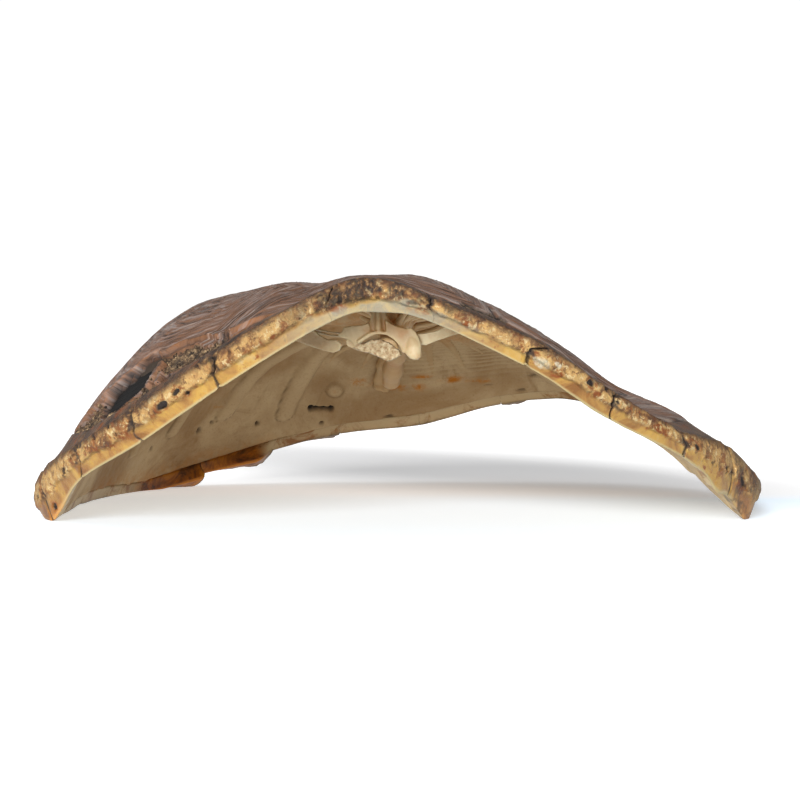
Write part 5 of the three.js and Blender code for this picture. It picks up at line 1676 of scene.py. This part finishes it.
@dataclass
class Crumbs:
    """Loose crumbs of dried matter in the tear of the first left plate, spread by Geometry Nodes."""

    # Crumbs per square metre; least and most radius and roughness in millimetres.
    density: float = 420000.0
    least: float = 0.25
    most: float = 1.0
    rough: float = 0.35
    seed: int = 7

    def _tree(self) -> bpy.types.NodeTree:
        """Node tree with the inputs Density, Least, Most, Rough, Seed and Finish."""
        tree = bpy.data.node_groups.new("crumbs", "GeometryNodeTree")
        face = tree.interface
        face.new_socket("Geometry", in_out="INPUT", socket_type="NodeSocketGeometry")
        for name in ("Density", "Least", "Most", "Rough"):
            face.new_socket(name, in_out="INPUT", socket_type="NodeSocketFloat")
        face.new_socket("Seed", in_out="INPUT", socket_type="NodeSocketInt")
        face.new_socket("Finish", in_out="INPUT", socket_type="NodeSocketMaterial")
        face.new_socket("Geometry", in_out="OUTPUT", socket_type="NodeSocketGeometry")
        made = {key: tree.nodes.new(kind) for key, kind in (
            ("in", "NodeGroupInput"), ("out", "NodeGroupOutput"), ("mark", "GeometryNodeInputNamedAttribute"),
            ("amount", "ShaderNodeMath"), ("spread", "GeometryNodeDistributePointsOnFaces"),
            ("ball", "GeometryNodeMeshIcoSphere"), ("size", "FunctionNodeRandomValue"),
            ("turn", "FunctionNodeRandomValue"), ("place", "GeometryNodeInstanceOnPoints"),
            ("real", "GeometryNodeRealizeInstances"), ("noise", "ShaderNodeTexNoise"),
            ("centre", "ShaderNodeVectorMath"), ("strength", "ShaderNodeVectorMath"),
            ("push", "GeometryNodeSetPosition"), ("finish", "GeometryNodeSetMaterial"))}
        made["mark"].data_type = "FLOAT"
        made["mark"].inputs["Name"].default_value = "crumb"
        made["amount"].operation = "MULTIPLY"
        made["size"].data_type = "FLOAT"
        made["turn"].data_type = "FLOAT_VECTOR"
        made["turn"].inputs[1].default_value = (math.tau, math.tau, math.tau)
        made["ball"].inputs["Radius"].default_value = MM
        made["ball"].inputs["Subdivisions"].default_value = 2
        made["noise"].inputs["Scale"].default_value = 900.0
        made["centre"].operation = "SUBTRACT"
        made["centre"].inputs[1].default_value = (0.5, 0.5, 0.5)
        made["strength"].operation = "SCALE"

        for source, output, target, socket in (
                ("mark", 0, "amount", 0),
                ("in", "Density", "amount", 1),
                ("in", "Geometry", "spread", "Mesh"),
                ("amount", 0, "spread", "Density"),
                ("in", "Seed", "spread", "Seed"),
                ("in", "Least", "size", 2),
                ("in", "Most", "size", 3),
                ("spread", "Points", "place", "Points"),
                ("ball", "Mesh", "place", "Instance"),
                ("turn", 0, "place", "Rotation"),
                ("size", 1, "place", "Scale"),
                ("place", 0, "real", 0),
                ("noise", "Color", "centre", 0),
                ("centre", 0, "strength", 0),
                ("in", "Rough", "strength", "Scale"),
                ("real", 0, "push", "Geometry"),
                ("strength", 0, "push", "Offset"),
                ("push", 0, "finish", "Geometry"),
                ("in", "Finish", "finish", "Material"),
                ("finish", 0, "out", 0)):
            tree.links.new(made[source].outputs[output], made[target].inputs[socket])
        return tree

    def build(self, plate: bpy.types.Object, material: bpy.types.Material) -> bpy.types.Object:
        """Spreads the crumbs where the plate's `crumb` number is high.

        Args:
            plate: Finished plate with the `crumb` number on its vertices.
            material: Finish of the crumbs.

        Returns:
            The crumbs as one plain mesh.
        """
        piece = bpy.data.objects.new("tear_crumbs", plate.data.copy())
        bpy.context.scene.collection.objects.link(piece)
        change = piece.modifiers.new("crumbs", "NODES")
        change.node_group = self._tree()
        values = {"Density": self.density, "Least": self.least, "Most": self.most,
                  "Rough": self.rough * MM * 2, "Seed": self.seed, "Finish": material}
        for item in change.node_group.interface.items_tree:
            if item.in_out == "INPUT" and item.name in values:
                change[item.identifier] = values[item.name]
        bpy.context.view_layer.update()
        mesh = evaluated_mesh(piece)
        piece.modifiers.clear()
        piece.data = mesh
        return piece


@dataclass(frozen=True)
class CrumbFinish:
    """Dark grey-brown dried matter with some tan grains."""

    def make(self) -> bpy.types.Material:
        """Builds the material."""
        g = Graph("dried_matter")
        grain = g.noise(380.0, 4.0, 0.65)
        colour = g.ramp(grain, [(0.36, srgb(30, 23, 18)), (0.48, srgb(74, 58, 44)), (0.58, srgb(108, 88, 66)),
                                (0.7, srgb(170, 144, 108))])
        return g.finish(colour, 0.9, g.bump(g.noise(1500.0, 3.0), 0.0004, 0.6), 0.2)


# ---------------------------------------------------------------- floor, light and camera


@dataclass
class Studio:
    """White ground, soft light and the camera."""

    place: tuple[float, float, float] = (0.05654, -1.1037, 0.085)
    tilt: tuple[float, float, float] = (math.radians(90 - 2.005), 0.0, math.radians(3))
    lens: float = 117.0
    front_from: tuple[float, float, float] = (-0.3, -1.6, 0.4)
    front_strength: float = 5.4
    front_width: float = 24.0
    above_power: float = 5.0
    above_from: tuple[float, float, float] = (-0.35, -0.2, 1.5)
    above_size: float = 1.3
    ground_half: float = 6.0
    room: float = 0.42
    wall: float = 1.05

    def camera(self) -> None:
        """Makes the camera."""
        data = bpy.data.cameras.new("camera")
        data.lens, data.sensor_width = self.lens, 36.0
        data.clip_start, data.clip_end = 0.05, 50.0
        camera = bpy.data.objects.new("camera", data)
        camera.location, camera.rotation_euler = self.place, self.tilt
        bpy.context.scene.collection.objects.link(camera)
        bpy.context.scene.camera = camera

    def floor(self) -> None:
        """Makes the ground."""
        mesh = bpy.data.meshes.new("ground")
        far = self.ground_half
        mesh.from_pydata([(-far, -far, 0), (far, -far, 0), (far, far, 0), (-far, far, 0)], [], [(0, 1, 2, 3)])
        ground = bpy.data.objects.new("ground", mesh)
        mesh.materials.append(FloorFinish().make())
        bpy.context.scene.collection.objects.link(ground)

    def light(self) -> None:
        """Makes the low, wide front light, the soft lamp above and the white surroundings."""
        self._lamp("front", "SUN", self.front_strength, self.front_from, angle=math.radians(self.front_width))
        self._lamp("above", "AREA", self.above_power, self.above_from, shape="DISK", size=self.above_size)
        world = bpy.data.worlds.new("white_room")
        world.use_nodes = True
        nodes, links = world.node_tree.nodes, world.node_tree.links
        direction = nodes.new("ShaderNodeTexCoord").outputs["Generated"]
        ahead = nodes.new("ShaderNodeVectorMath")
        ahead.operation = "DOT_PRODUCT"
        ahead.inputs[1].default_value = (0, 1, 0)
        wall = nodes.new("ShaderNodeMapRange")
        wall.interpolation_type = "SMOOTHSTEP"
        limits = {"From Min": 0.8, "From Max": 0.95, "To Min": self.room, "To Max": self.wall}
        for key, value in limits.items():
            wall.inputs[key].default_value = value
        links.new(direction, ahead.inputs[0])
        links.new(ahead.outputs["Value"], wall.inputs["Value"])
        links.new(wall.outputs[0], nodes["Background"].inputs["Strength"])
        nodes["Background"].inputs["Color"].default_value = (1, 1, 1, 1)
        bpy.context.scene.world = world
        bpy.context.scene.view_settings.view_transform = "Standard"

    def _lamp(self, name: str, kind: str, energy: float, where: tuple[float, float, float],
              **settings: object) -> None:
        """Makes one lamp that points at the shell."""
        data = bpy.data.lights.new(name, kind)
        data.energy = energy
        for key, value in settings.items():
            setattr(data, key, value)
        lamp = bpy.data.objects.new(name, data)
        lamp.location = where
        lamp.rotation_euler = (Vector((0, 0, 0.05)) - Vector(where)).to_track_quat("-Z", "Y").to_euler()
        bpy.context.scene.collection.objects.link(lamp)

    def build(self) -> None:
        """Makes everything that isn't the shell."""
        self.camera()
        self.floor()
        self.light()


# ---------------------------------------------------------------- the whole


class Slot(Enum):
    """Material slots of the record."""

    BONE = "bone"
    VERTEBRAL = "vertebral_horn"
    COSTAL = "costal_horn"
    MARGINAL = "marginal_horn"


def hand_in(piece: bpy.types.Object, node: str, material: bpy.types.Material) -> None:
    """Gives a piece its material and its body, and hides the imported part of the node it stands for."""
    piece.data.materials.clear()
    piece.data.materials.append(material)
    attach(piece, "root")
    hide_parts(node)
    LOG.info("%s: %d faces for %s", piece.name, len(piece.data.polygons), node)


def main() -> None:
    """Builds the shell and the studio."""
    logging.basicConfig(level=logging.INFO, format="%(message)s")
    Studio().build()
    form = ShellForm()
    bone, horn = BoneFinish().make(), HornFinish().make()
    rim, spine = BandFinish().make(), SpineFinish().make()
    hand_in(BoneDome(form).build(), "carapace_bone", bone)
    hand_in(FirstVertebra(form).build(), "carapace_bone", spine)
    hand_in(Column(form).build(), "carapace_bone", spine)
    for node, piece in DomeHorn(form).build().items():
        if node == "costal_scute_left_1":
            dried = CrumbFinish().make()
            hand_in(Crumbs().build(piece, dried), node, dried)
        hand_in(piece, node, horn)
    for node, piece in RimHorn(form).build().items():
        hand_in(piece, node, rim)


if __name__ == "__main__":
    main()
